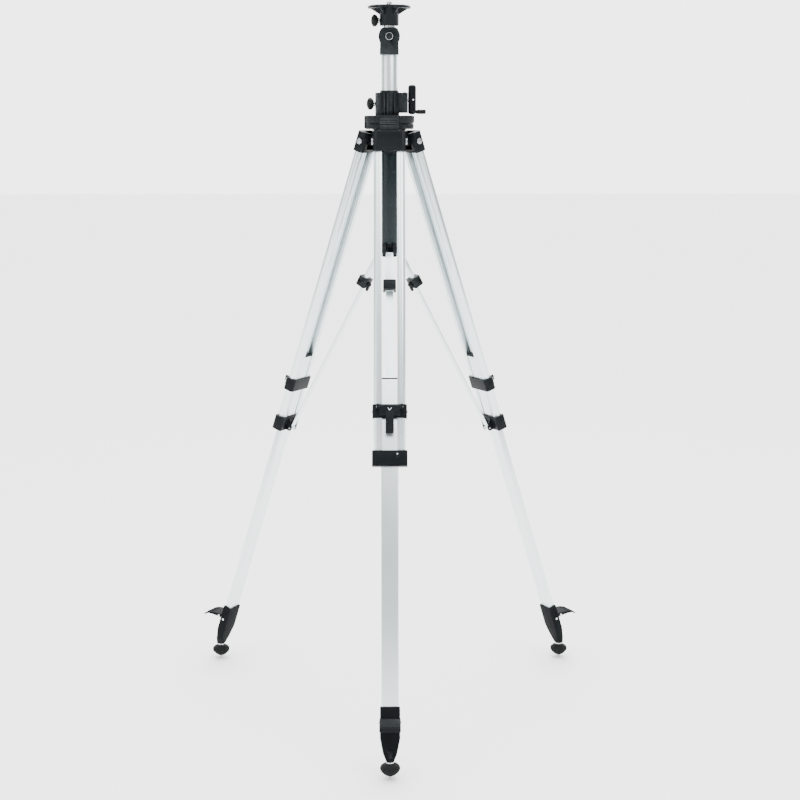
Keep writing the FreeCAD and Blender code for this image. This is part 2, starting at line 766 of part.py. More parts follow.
def make_head_casting():
    """The spider below the ring, with a lug for each leg and the seat of the guide tube."""
    piece = Piece("head_casting")
    outer = s.guide_radius + s.fit_gap
    piece.turn((s.column_radius + s.slide_gap * 2, -s.ring_bottom), (s.boss_radius + 12, -s.ring_bottom),
               (s.boss_radius, -s.ring_bottom - 9), (s.boss_radius, 3 - s.boss_bottom),
               (s.boss_radius - 3, -s.boss_bottom), (outer, -s.boss_bottom), (outer, -s.guide_top),
               (s.column_radius + s.slide_gap * 2, -s.guide_top))
    half = s.lug_half_width
    out, down, end = -s.hinge_radius, -s.hinge_depth, s.lug_end_radius
    slant = end * 0.7
    lug = piece.pad("YZ", -half, half,
                    polygon([(5 - s.boss_radius, -s.ring_bottom - 6),
                             (-s.boss_radius - 4, -s.ring_bottom - 8), (out, down + end),
                             (out - slant, down + slant), (out - end, down), (out - slant, down - slant),
                             (out, down - end), (5 - s.boss_radius, down - end)]))
    piece.around(lug, 3)
    hole = piece.pocket("YZ", -half - 1, half + 1,
                        circle(s.hinge_bolt_radius + s.fit_gap, -s.hinge_radius, -s.hinge_depth))
    piece.around(hole, 3)


def make_strut_hub():
    """The cap below the guide tube, with a pair of ears for each strut."""
    piece = Piece("strut_hub")
    inner = s.guide_radius - s.guide_wall - s.fit_gap
    floor = s.guide_bottom + 9
    outer = s.guide_radius
    piece.turn((0, 8 - s.guide_bottom), (inner, 8 - s.guide_bottom), (inner, -s.guide_bottom),
               (outer, -s.guide_bottom), (outer, 1 - floor), (outer - 1, -floor), (0, -floor))
    low = -s.hub_pin_depth - 6.5
    out = s.hub_pin_radius + 6.5

    def ear(side):
        return polygon([(side * s.strut_ear_inner, -out), (side * s.strut_ear_outer, -out),
                        (side * s.strut_ear_outer, 20 - s.hub_pin_radius), (side * s.strut_ear_inner,
                                                                            20 - s.hub_pin_radius)])
    ears = piece.pad("XY", low, -s.guide_bottom - 0.5, *mirrored(ear))
    piece.around(ears, 3)
    hole = piece.pocket("YZ", -s.strut_ear_outer - 1, s.strut_ear_outer + 1,
                        circle(s.strut_pin_radius + s.fit_gap, -s.hub_pin_radius, -s.hub_pin_depth))
    piece.around(hole, 3)


def make_pivot_pins():
    """The three leg hinge bolts with their heads and nuts, and the three strut hub pins."""
    piece = Piece("pivot_pins")
    half = s.shoulder_half_width
    bolt = piece.pad("YZ", -half - 0.5, half + 0.5,
                     circle(s.hinge_bolt_radius, -s.hinge_radius, -s.hinge_depth))
    piece.around(bolt, 3)
    head = piece.pad("YZ", half, half + s.bolt_head_height, hexagon(15, -s.hinge_radius, -s.hinge_depth))
    piece.around(head, 3)
    nut = piece.pad("YZ", -half - s.bolt_head_height, -half, hexagon(15, -s.hinge_radius, -s.hinge_depth))
    piece.around(nut, 3)
    end = s.strut_ear_outer + 1
    pin = piece.pad("YZ", -end, end, circle(s.strut_pin_radius, -s.hub_pin_radius, -s.hub_pin_depth))
    piece.around(pin, 3)


# ---- legs ----

def rail_centre():
    """Where the round outer side of a rail has its centre."""
    return s.rail_outer - s.rail_half_depth


def channel_floor():
    """How far from the middle a rail's channel for the inner tube reaches."""
    return s.tube_half_width + s.slide_gap


def make_shoulder(side, frame):
    """The black block that carries two rails on the head's lug."""
    piece = Piece("shoulder_" + side, frame)
    half = s.shoulder_half_width
    front = -s.shoulder_front
    back = s.shoulder_back
    piece.pad("XY", -s.shoulder_bottom, s.shoulder_top,
              polygon([(-half + 7, front), (half - 7, front), (half, front + 5), (half, back - 4),
                       (half - 5, back), (-half + 5, back), (-half, back - 4), (-half, front + 5)]))
    slot = s.lug_half_width + s.slide_gap
    piece.pocket("XY", -21, s.shoulder_top + 1,
                 rectangle(-slot, slot, front + s.shoulder_wall, back + 1))
    piece.pocket("YZ", -half - 1, half + 1, circle(s.hinge_bolt_radius + s.fit_gap, 0, 0))
    tenon_inner = channel_floor() + s.rail_wall + s.fit_gap
    tenon_depth = s.rail_half_depth - s.rail_wall - 1.4
    piece.pad("XY", -s.shoulder_bottom - s.tenon_length, 1 - s.shoulder_bottom,
              *mirrored(lambda sign: rectangle(sign * tenon_inner, sign * (rail_centre() + 4.5),
                                               -tenon_depth, tenon_depth)))


def make_rails(side, frame):
    """The pair of hollow rails, each with a channel that guides the inner tube."""
    piece = Piece("rails_" + side, frame)
    low = -s.rail_bottom
    high = -s.shoulder_bottom
    depth = s.rail_half_depth
    bore = depth - s.rail_wall
    floor = channel_floor()
    web = floor + s.rail_wall
    centre = rail_centre()
    inner = s.rail_inner
    piece.pad("XY", low, high, *mirrored(lambda sign: rectangle(sign * inner, sign * centre, -depth, depth)))
    piece.pad("XY", low, high, *mirrored(lambda sign: circle(depth, sign * centre)))
    piece.pocket("XY", low - 1, high + 1,
                 *mirrored(lambda sign: rectangle(sign * web, sign * centre, -bore, bore)))
    piece.pocket("XY", low - 1, high + 1, *mirrored(lambda sign: circle(bore, sign * centre)))
    slot = s.tube_half_depth + s.slide_gap
    piece.pocket("XY", low - 1, high + 1,
                 *mirrored(lambda sign: rectangle(sign * (inner - 5), sign * floor, -slot, slot)))
    for face in (1, -1):
        piece.pocket("XY", low - 1, high + 1,
                     *mirrored(lambda sign: rectangle(sign * (centre - 2), sign * (centre - 0.6),
                                                      face * (depth - s.rail_groove), face * (depth + 1))))


def make_inner_tube(side, frame):
    """The lower leg's flat tube, which slides between the rails."""
    piece = Piece("inner_tube_" + side, frame)
    wide, deep, wall = s.tube_half_width, s.tube_half_depth, s.tube_wall
    piece.pad("XY", -s.tube_bottom, -s.tube_top, rectangle(-wide, wide, -deep, deep))
    piece.fillet(s.tube_corner, lengthwise)
    piece.pocket("XY", -s.tube_bottom - 1, 1 - s.tube_top,
                 rectangle(wall - wide, wide - wall, wall - deep, deep - wall))


def cut_rail_opening(piece, low, high):
    """Open a collar to the outline of the two rails."""
    depth = s.rail_half_depth + s.fit_gap
    centre = rail_centre()
    piece.pocket("XY", low, high, rectangle(-centre, centre, -depth, depth))
    piece.pocket("XY", low, high, *mirrored(lambda sign: circle(depth, sign * centre)))


def lever_pivot():
    """How far along and out from the leg's axis the clamp lever's pin lies."""
    return s.clamp_top + s.lever_pivot, s.collar_half_depth + s.lever_pivot_out


def make_clamp_collar(side, frame):
    """The collar around the rails that carries the clamp lever."""
    piece = Piece("clamp_collar_" + side, frame)
    low = -s.clamp_top - s.clamp_height
    high = -s.clamp_top
    wide, deep = s.collar_half_width, s.collar_half_depth
    piece.pad("XY", low, high, rectangle(-wide, wide, -deep, deep))
    piece.fillet(s.collar_corner, lengthwise)
    along, out = lever_pivot()
    inner = s.lever_half_width + s.slide_gap
    piece.pad("XY", -along - 6, high, *mirrored(lambda sign: rectangle(sign * inner, sign * (inner + 6),
                                                                      -out - 4.5, -deep + 1)))
    cut_rail_opening(piece, low - 1, high + 1)
    piece.pocket("YZ", -inner - 7, inner + 7, circle(s.lever_pin_radius + s.fit_gap, -out, -along))


def make_clamp_lever(side, frame):
    """The T-shaped clamp lever."""
    piece = Piece("clamp_lever_" + side, frame)
    along, out = lever_pivot()
    inner = s.collar_half_depth + s.slide_gap
    outer = inner + s.lever_thickness
    top = along - inner - s.lever_thickness / 2 + s.collar_half_depth + s.slide_gap
    bar_end = -s.clamp_top - s.lever_bar_height - 4
    piece.pad("YZ", -s.lever_half_width, s.lever_half_width,
              polygon([(-inner - 2.4, -top), (-outer + 1.5, -top), (-outer, -top - 1.5),
                       (-outer, bar_end + 2), (-outer + 2, bar_end), (-inner, bar_end), (-inner, -along),
                       (-inner - 0.7, -top - 1.2)]))
    stem = s.lever_stem_half_width
    end = s.clamp_top + s.lever_length + 4
    piece.pad("YZ", -stem, stem,
              polygon([(-inner - 0.4, -s.clamp_top - 20), (-outer - 0.6, -s.clamp_top - 20),
                       (-outer - 0.6, -s.clamp_top - 45), (-outer - 2.5, 2 - end), (-outer - 1.5, -end),
                       (-inner - 1.5, -end), (-inner - 0.4, -s.clamp_top - 50)]))
    piece.pocket("YZ", -s.lever_half_width - 1, s.lever_half_width + 1,
                 circle(s.lever_pin_radius + s.fit_gap, -out, -along))


def make_end_collar(side, frame):
    """The collar at the rails' lower end, with the clevis for the strut."""
    piece = Piece("end_collar_" + side, frame)
    low = -s.rail_bottom - s.end_collar_lip
    high = -s.end_collar_top
    wide = s.collar_half_width + 1
    deep = s.collar_half_depth + 0.2
    piece.pad("XY", low, high, rectangle(-wide, wide, -deep, deep))
    piece.fillet(s.collar_corner - 1, lengthwise)
    band = wide - 9
    for face in (1, -1):
        piece.pocket("XY", low - 1, high + 1, rectangle(-band, band, face * (deep - 0.8), face * (deep + 1)))
    in_pin = s.strut_pin_in
    ear = s.bar_half_width + s.slide_gap
    piece.pad("YZ", -ear - 4, ear + 4,
              polygon([(deep - 3, high - 5), (deep, high - 5), (in_pin + 5.5, 5 - s.rail_bottom),
                       (in_pin + 5.5, -s.rail_bottom - 5), (in_pin + 2, low + 0.5), (deep - 3, low + 0.5)]))
    piece.pocket("YZ", -ear, ear, rectangle(deep + 2.5, in_pin + 7, low - 1, high + 1))
    cut_rail_opening(piece, -s.rail_bottom, high + 1)
    bore_wide = s.tube_half_width + s.slide_gap
    bore_deep = s.tube_half_depth + s.slide_gap
    piece.pocket("XY", low - 1, 1 - s.rail_bottom, rectangle(-bore_wide, bore_wide, -bore_deep, bore_deep))
    piece.pocket("YZ", -ear - 5, ear + 5, circle(s.strut_pin_radius + s.fit_gap, in_pin, -s.rail_bottom))


def make_leg_pins(side, frame):
    """The clamp lever's pin and the pin at the strut's lower end."""
    piece = Piece("leg_pins_" + side, frame)
    along, out = lever_pivot()
    lever_end = s.lever_half_width + 7
    piece.pad("YZ", -lever_end, lever_end, circle(s.lever_pin_radius, -out, -along))
    strut_end = s.bar_half_width + s.slide_gap + 5
    piece.pad("YZ", -strut_end, strut_end, circle(s.strut_pin_radius, s.strut_pin_in, -s.rail_bottom))


# ---- feet, in an upright frame whose origin is on the floor below the spike ----

def make_foot(side, frame):
    """The cast foot on the inner tube's end, with its pedal."""
    piece = Piece("foot_" + side, frame)
    lean, up = sine(s.leg_lean), cosine(s.leg_lean)
    slope = lean / up
    hinge_height = s.stand_height - s.hinge_depth
    half = s.foot_width / 2
    deep = s.tube_half_depth + s.foot_wall

    def on_leg(along, out):
        """A point of the leg's middle plane, as (Y, Z) in the foot's frame."""
        across = s.spike_radius - s.hinge_radius - along * lean - out * up
        return across, hinge_height - along * up + out * lean

    socket_top = s.tube_bottom - s.foot_socket_length
    inner_top = on_leg(socket_top, -deep)
    outer_top = on_leg(socket_top, deep)
    shoulder = s.foot_shoulder_height
    inner_shoulder = inner_top[0] - (inner_top[1] - shoulder) * slope
    outer_shoulder = outer_top[0] - (outer_top[1] - shoulder) * slope
    neck = s.foot_neck_radius
    piece.pad("YZ", -half, half,
              polygon([inner_top, outer_top, (outer_shoulder, shoulder), (-neck, s.neck_height),
                       (neck, s.neck_height), (inner_shoulder, shoulder)]))
    below = s.neck_height - 2

    def flank(sign):
        return polygon([(sign * (half + 1), shoulder + 6), (sign * half, shoulder + 6),
                        (sign * (neck + 9), s.neck_height + 22), (sign * neck, s.neck_height),
                        (sign * neck, below), (sign * (half + 1), below)])
    piece.pocket("XZ", -80, 30, *mirrored(flank))
    pedal = s.pedal_height
    pedal_root = outer_top[0] - (outer_top[1] - pedal) * slope
    tip = s.pedal_reach
    piece.pad("YZ", -half - 1.5, half + 1.5,
              polygon([(pedal_root + 5, pedal + 2), (pedal_root - 4, pedal + 2.5), (-tip * 0.3, pedal + 4.5),
                       (-tip * 0.62, pedal + 3.5), (-tip * 0.85, pedal), (-tip, pedal - 6.5),
                       (2 - tip, pedal - 8), (-tip * 0.8, pedal - 4), (-tip * 0.58, pedal - 1.5),
                       (-tip * 0.3, pedal - 2.5), (pedal_root + 2, pedal - 8)]))
    piece.pad("YZ", -4, 4, polygon([(pedal_root + 2, pedal - 4), (-tip * 0.6, pedal - 1),
                                    (-tip * 0.2, pedal - 14), (pedal_root - 4, pedal - 24)]))
    wide = s.tube_half_width + s.fit_gap
    hole = s.tube_half_depth + s.fit_gap
    above = socket_top - 2
    piece.pocket("YZ", -wide, wide, polygon([on_leg(above, -hole), on_leg(above, hole),
                                             on_leg(s.tube_bottom, hole), on_leg(s.tube_bottom, -hole)]))
    piece.pocket("XY", s.neck_height - 1, s.neck_height + 26, circle(s.thread_radius + s.fit_gap))


def make_foot_spike(side, frame):
    """The steel spike with its threaded shank and collar."""
    piece = Piece("foot_spike_" + side, frame)
    thread, collar = s.thread_radius, s.collar_radius
    top = s.neck_height
    seat = top - s.collar_thickness
    piece.turn((0, 0), (1, 0.6), (4.2, s.ball_bottom), (thread, s.ball_bottom + 2), (thread, seat),
               (collar, seat), (collar, top), (thread, top), (thread, top + 25), (0, top + 25))


def make_foot_ball(side, frame):
    """The ribbed rubber foot, which screws down over the spike on hard floors."""
    piece = Piece("foot_ball_" + side, frame)
    bore = s.thread_radius + s.slide_gap
    low, high, wide = s.ball_bottom, s.ball_top, s.ball_radius
    tall = high - low
    piece.turn((bore, low), (wide * 0.36, low), (wide * 0.66, low + tall * 0.18),
               (wide * 0.91, low + tall * 0.38), (wide, low + tall * 0.52), (wide, low + tall * 0.64),
               (wide * 0.9, low + tall * 0.8), (wide * 0.68, low + tall * 0.93), (wide * 0.5, high),
               (bore, high))


# ---- struts, in a frame at the hub pin that points along the strut ----

def strut_reach():
    """The strut's run outwards and downwards from its hub pin to its pin on the leg."""
    lean, up = sine(s.leg_lean), cosine(s.leg_lean)
    out = s.hinge_radius + s.rail_bottom * lean - s.strut_pin_in * up - s.hub_pin_radius
    down = s.hinge_depth + s.rail_bottom * up + s.strut_pin_in * lean - s.hub_pin_depth
    return out, down


def strut_angle():
    out, down = strut_reach()
    return arc_tangent(out / down)


def strut_length():
    out, down = strut_reach()
    return root(out * out + down * down)


def make_strut_channel(side, frame):
    """The strut's upper half, a flat sleeve with an eye on the hub pin."""
    piece = Piece("strut_channel_" + side, frame)
    wide = s.channel_half_width
    wall = s.channel_wall
    piece.pad("XY", -s.channel_length, -12,
              rectangle(-wide, wide, -s.channel_out, s.channel_in))
    eye = s.strut_ear_inner - s.slide_gap
    piece.pad("YZ", -eye, eye, circle(s.strut_eye_radius))
    piece.pad("XY", -14, 0, rectangle(-eye, eye, -s.channel_out + 1, s.channel_in))
    piece.pocket("XY", -s.channel_length - 1, -15,
                 rectangle(wall - wide, wide - wall, wall - s.channel_out, s.channel_in - wall))
    piece.pocket("YZ", -eye - 1, eye + 1, circle(s.strut_pin_radius + s.fit_gap))


def make_strut_bar(side, frame):
    """The strut's lower half, a flat bar with a rolled eye on the leg's pin."""
    piece = Piece("strut_bar_" + side, frame)
    wide = s.bar_half_width
    thick = s.bar_half_thickness
    length = strut_length()
    piece.pad("XY", -length, -s.bar_start, rectangle(-wide, wide, -thick, thick))
    piece.pad("YZ", -wide, wide, circle(s.strut_pin_radius + 2.2, 0, -length))
    piece.pocket("YZ", -wide - 1, wide + 1, circle(s.strut_pin_radius + s.fit_gap, 0, -length))


def make_strut_clamp(side, frame):
    """The clamp block around the strut's sleeve."""
    piece = Piece("strut_clamp_" + side, frame)
    start = s.strut_clamp_start
    end = start + s.strut_clamp_length
    wide = s.strut_clamp_half_width
    front = s.channel_out + 13
    back = s.channel_in + 6
    piece.pad("XY", -end, -start,
              polygon([(-wide + 4, -front), (wide - 4, -front), (wide, -front + 4), (wide, back),
                       (-wide, back), (-wide, -front + 4)]))
    hole_wide = s.channel_half_width + s.fit_gap
    piece.pocket("XY", -end - 1, 1 - start, rectangle(-hole_wide, hole_wide, -s.channel_out - s.fit_gap,
                                                      s.channel_in + s.fit_gap))
    window = s.channel_out + 6.5
    piece.pocket("YZ", -wide - 1, wide + 1, rectangle(-window - 3.5, -window + 3.5, -start - 18, -start - 10))
    piece.pocket("XZ", -back - 1, 0.5 - s.channel_in,
                 circle(s.knob_stud_radius - 1 + s.fit_gap, 0, -start - 14))


def make_strut_knob(side, frame):
    """The wing knob that clamps the strut's bar."""
    start = s.strut_clamp_start + 14
    face = s.channel_in + 6
    piece = Piece("strut_knob_" + side, frame * Frame(0, face, -start, 0, 0, -90))
    stud = s.knob_stud_radius - 1
    piece.turn((0, -5), (stud, -5), (stud, s.slide_gap), (7, s.slide_gap), (7, 5), (5, 9), (0, 9))
    piece.pad("XY", 2, 8, polygon([(-3.5, 0), (3.5, 0), (4.5, 17), (2.5, 20), (-2.5, 20), (-4.5, 17)]))


def make_leg(side, turn):
    """All the pieces of one leg, its foot and its strut."""
    around = Frame(yaw=turn)
    leg = around * Frame(0, -s.hinge_radius, -s.hinge_depth, 0, 0, -s.leg_lean)
    foot = around * Frame(0, -s.spike_radius, -s.stand_height)
    strut = around * Frame(0, -s.hub_pin_radius, -s.hub_pin_depth, 0, 0, -strut_angle())
    for make in (make_shoulder, make_rails, make_inner_tube, make_clamp_collar, make_clamp_lever,
                 make_end_collar, make_leg_pins):
        make(side, leg)
    for make in (make_foot, make_foot_spike, make_foot_ball):
        make(side, foot)
    for make in (make_strut_channel, make_strut_bar, make_strut_clamp, make_strut_knob):
        make(side, strut)


def make_all():
    for make in (make_platform, make_laser_screw, make_platform_knob, make_tilt_fork, make_tilt_socket,
                 make_tilt_bolt, make_tilt_knob, make_column_tube, make_guide_tube, make_crank_housing,
                 make_crank_shaft, make_crank_arm, make_crank_handle, make_column_lock_knob, make_head_ring,
                 make_head_casting, make_strut_hub, make_pivot_pins):
        make()
    for side, turn in leg_turns.items():
        make_leg(side, turn)
    doc.recompute()


def read_path(item, path):
    """The value of a bound property, as a plain number."""
    value = item
    for name in path.split("."):
        value = getattr(value, name)
    return float(getattr(value, "Value", value))


def check_all():
    """Stop if an object failed, a bound size is wrong, a cut removed nothing or a shape is bad."""
    faults = [item.Label for item in doc.Objects if {"Invalid", "Error"} & set(item.State)]
    faults += ["%s.%s" % (item.Label, path) for item, path, number in bound
               if abs(read_path(item, path) - number) > 1e-4]
    for piece, feature in cuts:
        if feature.Shape.Volume > feature.BaseFeature.Shape.Volume - 1e-3:
            faults.append("%s %s cuts nothing" % (piece.body.Label, feature.Label))
    for label, piece in pieces.items():
        shape = piece.body.Shape
        if shape.isNull() or not shape.isValid() or not shape.Solids:
            faults.append(label + " has a bad shape")
        if piece.frame and not piece.body.Placement.isSame(piece.frame.placement, 1e-6):
            faults.append(label + " is misplaced")
    if faults:
        raise RuntimeError("; ".join(faults))


def export_all():
    os.makedirs("parts", exist_ok=True)
    for label, piece in pieces.items():
        piece.body.Shape.exportStep("parts/%s.step" % label)
    print("%d sub-parts, strut length %.1f mm" % (len(pieces), strut_length().number))


make_all()
check_all()
export_all()
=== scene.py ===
import bpy
import json
import math
from mathutils import Matrix, Vector

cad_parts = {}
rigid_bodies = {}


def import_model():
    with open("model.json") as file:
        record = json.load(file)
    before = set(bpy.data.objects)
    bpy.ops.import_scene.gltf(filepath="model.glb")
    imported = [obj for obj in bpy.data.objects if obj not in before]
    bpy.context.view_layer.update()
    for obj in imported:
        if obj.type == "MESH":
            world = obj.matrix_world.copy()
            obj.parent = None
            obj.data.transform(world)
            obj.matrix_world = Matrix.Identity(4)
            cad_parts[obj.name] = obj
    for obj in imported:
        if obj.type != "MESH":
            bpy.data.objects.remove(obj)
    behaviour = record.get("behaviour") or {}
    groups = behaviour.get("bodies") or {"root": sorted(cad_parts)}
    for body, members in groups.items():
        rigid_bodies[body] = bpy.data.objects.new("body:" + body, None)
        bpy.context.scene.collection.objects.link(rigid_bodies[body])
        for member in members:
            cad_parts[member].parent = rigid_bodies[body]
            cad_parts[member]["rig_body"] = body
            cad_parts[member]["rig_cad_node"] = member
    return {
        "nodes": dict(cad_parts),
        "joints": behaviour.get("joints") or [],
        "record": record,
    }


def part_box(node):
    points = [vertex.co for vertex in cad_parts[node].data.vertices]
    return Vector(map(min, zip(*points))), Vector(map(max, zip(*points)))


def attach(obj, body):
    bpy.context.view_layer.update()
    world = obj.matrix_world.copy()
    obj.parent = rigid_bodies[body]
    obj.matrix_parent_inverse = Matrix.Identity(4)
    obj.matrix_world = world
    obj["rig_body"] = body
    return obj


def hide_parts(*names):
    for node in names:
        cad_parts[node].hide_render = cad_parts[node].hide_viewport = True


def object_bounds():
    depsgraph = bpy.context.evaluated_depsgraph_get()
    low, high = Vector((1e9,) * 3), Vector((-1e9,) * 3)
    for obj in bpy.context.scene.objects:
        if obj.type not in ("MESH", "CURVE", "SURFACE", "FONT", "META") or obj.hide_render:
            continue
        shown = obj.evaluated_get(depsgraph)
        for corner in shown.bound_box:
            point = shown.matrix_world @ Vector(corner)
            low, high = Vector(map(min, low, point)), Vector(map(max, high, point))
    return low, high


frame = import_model()
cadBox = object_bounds()
nodes = frame["nodes"]
joints = {joint["name"]: joint for joint in frame["joints"]}
slotOf = {part["node"]: part["material_slot"] for part in frame["record"]["subparts"]}
sides = ("front", "left", "right")
print("frame loaded:", len(nodes), "nodes")


# camera and studio

view = {"place": (0.0, -4.393, -0.298), "pitchDown": 10.31, "panRight": 0.385, "lens": 70.2}
studio = {"floorSize": 60.0, "floorColour": (0.93, 0.93, 0.93, 1), "floorRough": 0.7, "sideSky": 0.42,
          "aim": (0, 0, -1.0)}
softboxes = {"keyLight": {"place": (2.6, -3.2, 2.2), "size": (2.4, 2.4), "power": 110.0},
             "fillLight": {"place": (-3.4, -2.4, 0.6), "size": (2.6, 3.0), "power": 60.0},
             "rimLight": {"place": (0.4, 3.6, 2.0), "size": (3.0, 2.0), "power": 50.0}}
skyGlows = (("Y", -1, 0.45, 0.85, 0.36),  # axis, sign, where the glow starts and is full, and its strength
            ("Y", 1, 0.25, 0.70, 3.8), ("Z", 1, 0.55, 0.95, 5.6))


def setCamera():
    camera = bpy.data.objects.new("camera", bpy.data.cameras.new("camera"))
    bpy.context.scene.collection.objects.link(camera)
    camera.location = view["place"]
    camera.rotation_euler = (math.radians(90 - view["pitchDown"]), 0, math.radians(-view["panRight"]))
    camera.data.lens = view["lens"]
    camera.data.sensor_width = 36
    camera.data.clip_end = 200
    bpy.context.scene.camera = camera


def addSoftbox(name, place, size, power):
    light = bpy.data.lights.new(name, "AREA")
    light.shape = "RECTANGLE"
    light.size, light.size_y = size
    light.energy = power
    softbox = bpy.data.objects.new(name, light)
    bpy.context.scene.collection.objects.link(softbox)
    softbox.location = place
    softbox.rotation_euler = (Vector(studio["aim"]) - Vector(place)).to_track_quat("-Z", "Y").to_euler()


# a white sky: dim at the sides, a little brighter on the near side, bright beyond and brightest overhead
def setSky():
    world = bpy.data.worlds.new("studioSky")
    world.use_nodes = True
    tree = world.node_tree
    sky = tree.nodes["Background"]
    sky.inputs["Color"].default_value = (1, 1, 1, 1)
    coords = tree.nodes.new("ShaderNodeTexCoord")
    axes = tree.nodes.new("ShaderNodeSeparateXYZ")
    tree.links.new(coords.outputs["Generated"], axes.inputs[0])
    total = None
    for axis, sign, start, end, gain in skyGlows:
        ramp = tree.nodes.new("ShaderNodeMapRange")
        ramp.interpolation_type = "SMOOTHSTEP"
        ramp.inputs["From Min"].default_value = sign * start
        ramp.inputs["From Max"].default_value = sign * end
        ramp.inputs["To Min"].default_value = 0
        ramp.inputs["To Max"].default_value = gain
        tree.links.new(axes.outputs[axis], ramp.inputs["Value"])
        add = tree.nodes.new("ShaderNodeMath")
        add.operation = "ADD"
        add.inputs[1].default_value = studio["sideSky"]
        if total is not None:
            tree.links.new(total, add.inputs[1])
        tree.links.new(ramp.outputs["Result"], add.inputs[0])
        total = add.outputs[0]
    tree.links.new(total, sky.inputs["Strength"])
    bpy.context.scene.world = world


def setStudio():
    floorHeight = cadBox[0][2]
    bpy.ops.mesh.primitive_plane_add(size=studio["floorSize"], location=(0, 0, floorHeight))
    floor = bpy.context.object
    floor.name = "studioFloor"
    paint = bpy.data.materials.new("floorPaint")
    paint.use_nodes = True
    shader = paint.node_tree.nodes["Principled BSDF"]
    shader.inputs["Base Color"].default_value = studio["floorColour"]
    shader.inputs["Roughness"].default_value = studio["floorRough"]
    floor.data.materials.append(paint)
    setSky()
    for name, box in softboxes.items():
        addSoftbox(name, box["place"], box["size"], box["power"])


setCamera()
setStudio()
print("camera and studio set")


# frames of the legs and feet: X across, -Y outwards, -Z down along the member

def memberFrame(origin, across, down):
    x = Vector(across).normalized()
    z = -Vector(down).normalized()
    y = z.cross(x)
    matrix = Matrix((x, y, z)).transposed().to_4x4()
    matrix.translation = Vector(origin)
    return matrix


def legFrame(side):
    hinge = joints["leg_spread_" + side]
    return memberFrame(hinge["pos_m"], hinge["axis"], joints["leg_slide_" + side]["axis"])


def footFrame(side):
    low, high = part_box("foot_spike_" + side)
    middle = (low + high) / 2
    return memberFrame((middle.x, middle.y, low.z), joints["leg_spread_" + side]["axis"], (0, 0, -1))


# shader groups

drawn = {"spacing": 1800.0, "stretch": 0.012, "detail": 3.0, "rough": 0.6, "cloudScale": 26.0,
         "cloudDetail": 3.0}
# edge mask settings: the lighter edges are partly wear and partly a painted highlight on the bevels
wearHighlightSettings = {"start": 0.53, "width": 0.06, "break": 90.0, "detail": 4.0, "rough": 0.65, "power": 1.6}
skin = {"grain": 1400.0, "mottle": 35.0, "grainDetail": 2.0, "mottleDetail": 5.0, "mottleRough": 0.6,
        "dustFacing": 0.85, "dustGain": 1.1}


def newGroup(name, inputs, outputs):
    group = bpy.data.node_groups.new(name, "ShaderNodeTree")
    for label, kind, value in inputs:
        socket = group.interface.new_socket(label, in_out="INPUT", socket_type="NodeSocket" + kind)
        socket.default_value = value
    for label, kind in outputs:
        group.interface.new_socket(label, in_out="OUTPUT", socket_type="NodeSocket" + kind)
    return group, group.nodes.new("NodeGroupInput"), group.nodes.new("NodeGroupOutput")


def addMath(tree, operation, first, second):
    node = tree.nodes.new("ShaderNodeMath")
    node.operation = operation
    for index, value in enumerate((first, second)):
        if isinstance(value, (int, float)):
            node.inputs[index].default_value = value
        else:
            tree.links.new(value, node.inputs[index])
    return node.outputs[0]


def addNoise(tree, vector, scale, detail, roughness=0.5):
    noise = tree.nodes.new("ShaderNodeTexNoise")
    for label, value in (("Scale", scale), ("Detail", detail), ("Roughness", roughness)):
        if isinstance(value, (int, float)):
            noise.inputs[label].default_value = value
        else:
            tree.links.new(value, noise.inputs[label])
    tree.links.new(vector, noise.inputs["Vector"])
    return noise.outputs["Fac"]


# fine lines along one direction, as extruded and drawn metal has
def buildDrawLines():
    inputs = [("Along", "Vector", (0, 0, 1)), ("Spacing", "Float", drawn["spacing"]),
              ("Stretch", "Float", drawn["stretch"])]
    group, ins, outs = newGroup("drawLines", inputs, [("Lines", "Float"), ("Clouds", "Float")])
    coords = group.nodes.new("ShaderNodeTexCoord")
    dot = group.nodes.new("ShaderNodeVectorMath")
    dot.operation = "DOT_PRODUCT"
    group.links.new(coords.outputs["Object"], dot.inputs[0])
    group.links.new(ins.outputs["Along"], dot.inputs[1])
    shrink = addMath(group, "SUBTRACT", ins.outputs["Stretch"], 1.0)
    squeeze = addMath(group, "MULTIPLY", dot.outputs["Value"], shrink)
    scaled = group.nodes.new("ShaderNodeVectorMath")
    scaled.operation = "SCALE"
    group.links.new(ins.outputs["Along"], scaled.inputs[0])
    group.links.new(squeeze, scaled.inputs["Scale"])
    flat = group.nodes.new("ShaderNodeVectorMath")
    flat.operation = "ADD"
    group.links.new(coords.outputs["Object"], flat.inputs[0])
    group.links.new(scaled.outputs["Vector"], flat.inputs[1])
    lines = addNoise(group, flat.outputs["Vector"], ins.outputs["Spacing"], drawn["detail"], drawn["rough"])
    clouds = addNoise(group, coords.outputs["Object"], drawn["cloudScale"], drawn["cloudDetail"])
    group.links.new(lines, outs.inputs["Lines"])
    group.links.new(clouds, outs.inputs["Clouds"])
    return group


# a mask that is bright on outer edges and broken up by noise: edge wear where handling rubs a finish, and
# also a painted highlight along the bevels
def buildWearHighlightMask():
    inputs = [(label, "Float", wearHighlightSettings[label.lower()]) for label in ("Start", "Width", "Break")]
    group, ins, outs = newGroup("edgeRub", inputs, [("Mask", "Float")])
    shape = group.nodes.new("ShaderNodeNewGeometry")
    coords = group.nodes.new("ShaderNodeTexCoord")
    noise = addNoise(group, coords.outputs["Object"], ins.outputs["Break"], wearHighlightSettings["detail"], wearHighlightSettings["rough"])
    past = addMath(group, "SUBTRACT", shape.outputs["Pointiness"], ins.outputs["Start"])
    ramp = addMath(group, "DIVIDE", past, ins.outputs["Width"])
    broken = addMath(group, "MULTIPLY", ramp, addMath(group, "POWER", noise, wearHighlightSettings["power"]))
    limited = addMath(group, "MINIMUM", addMath(group, "MAXIMUM", broken, 0.0), 1.0)
    group.links.new(limited, outs.inputs["Mask"])
    return group


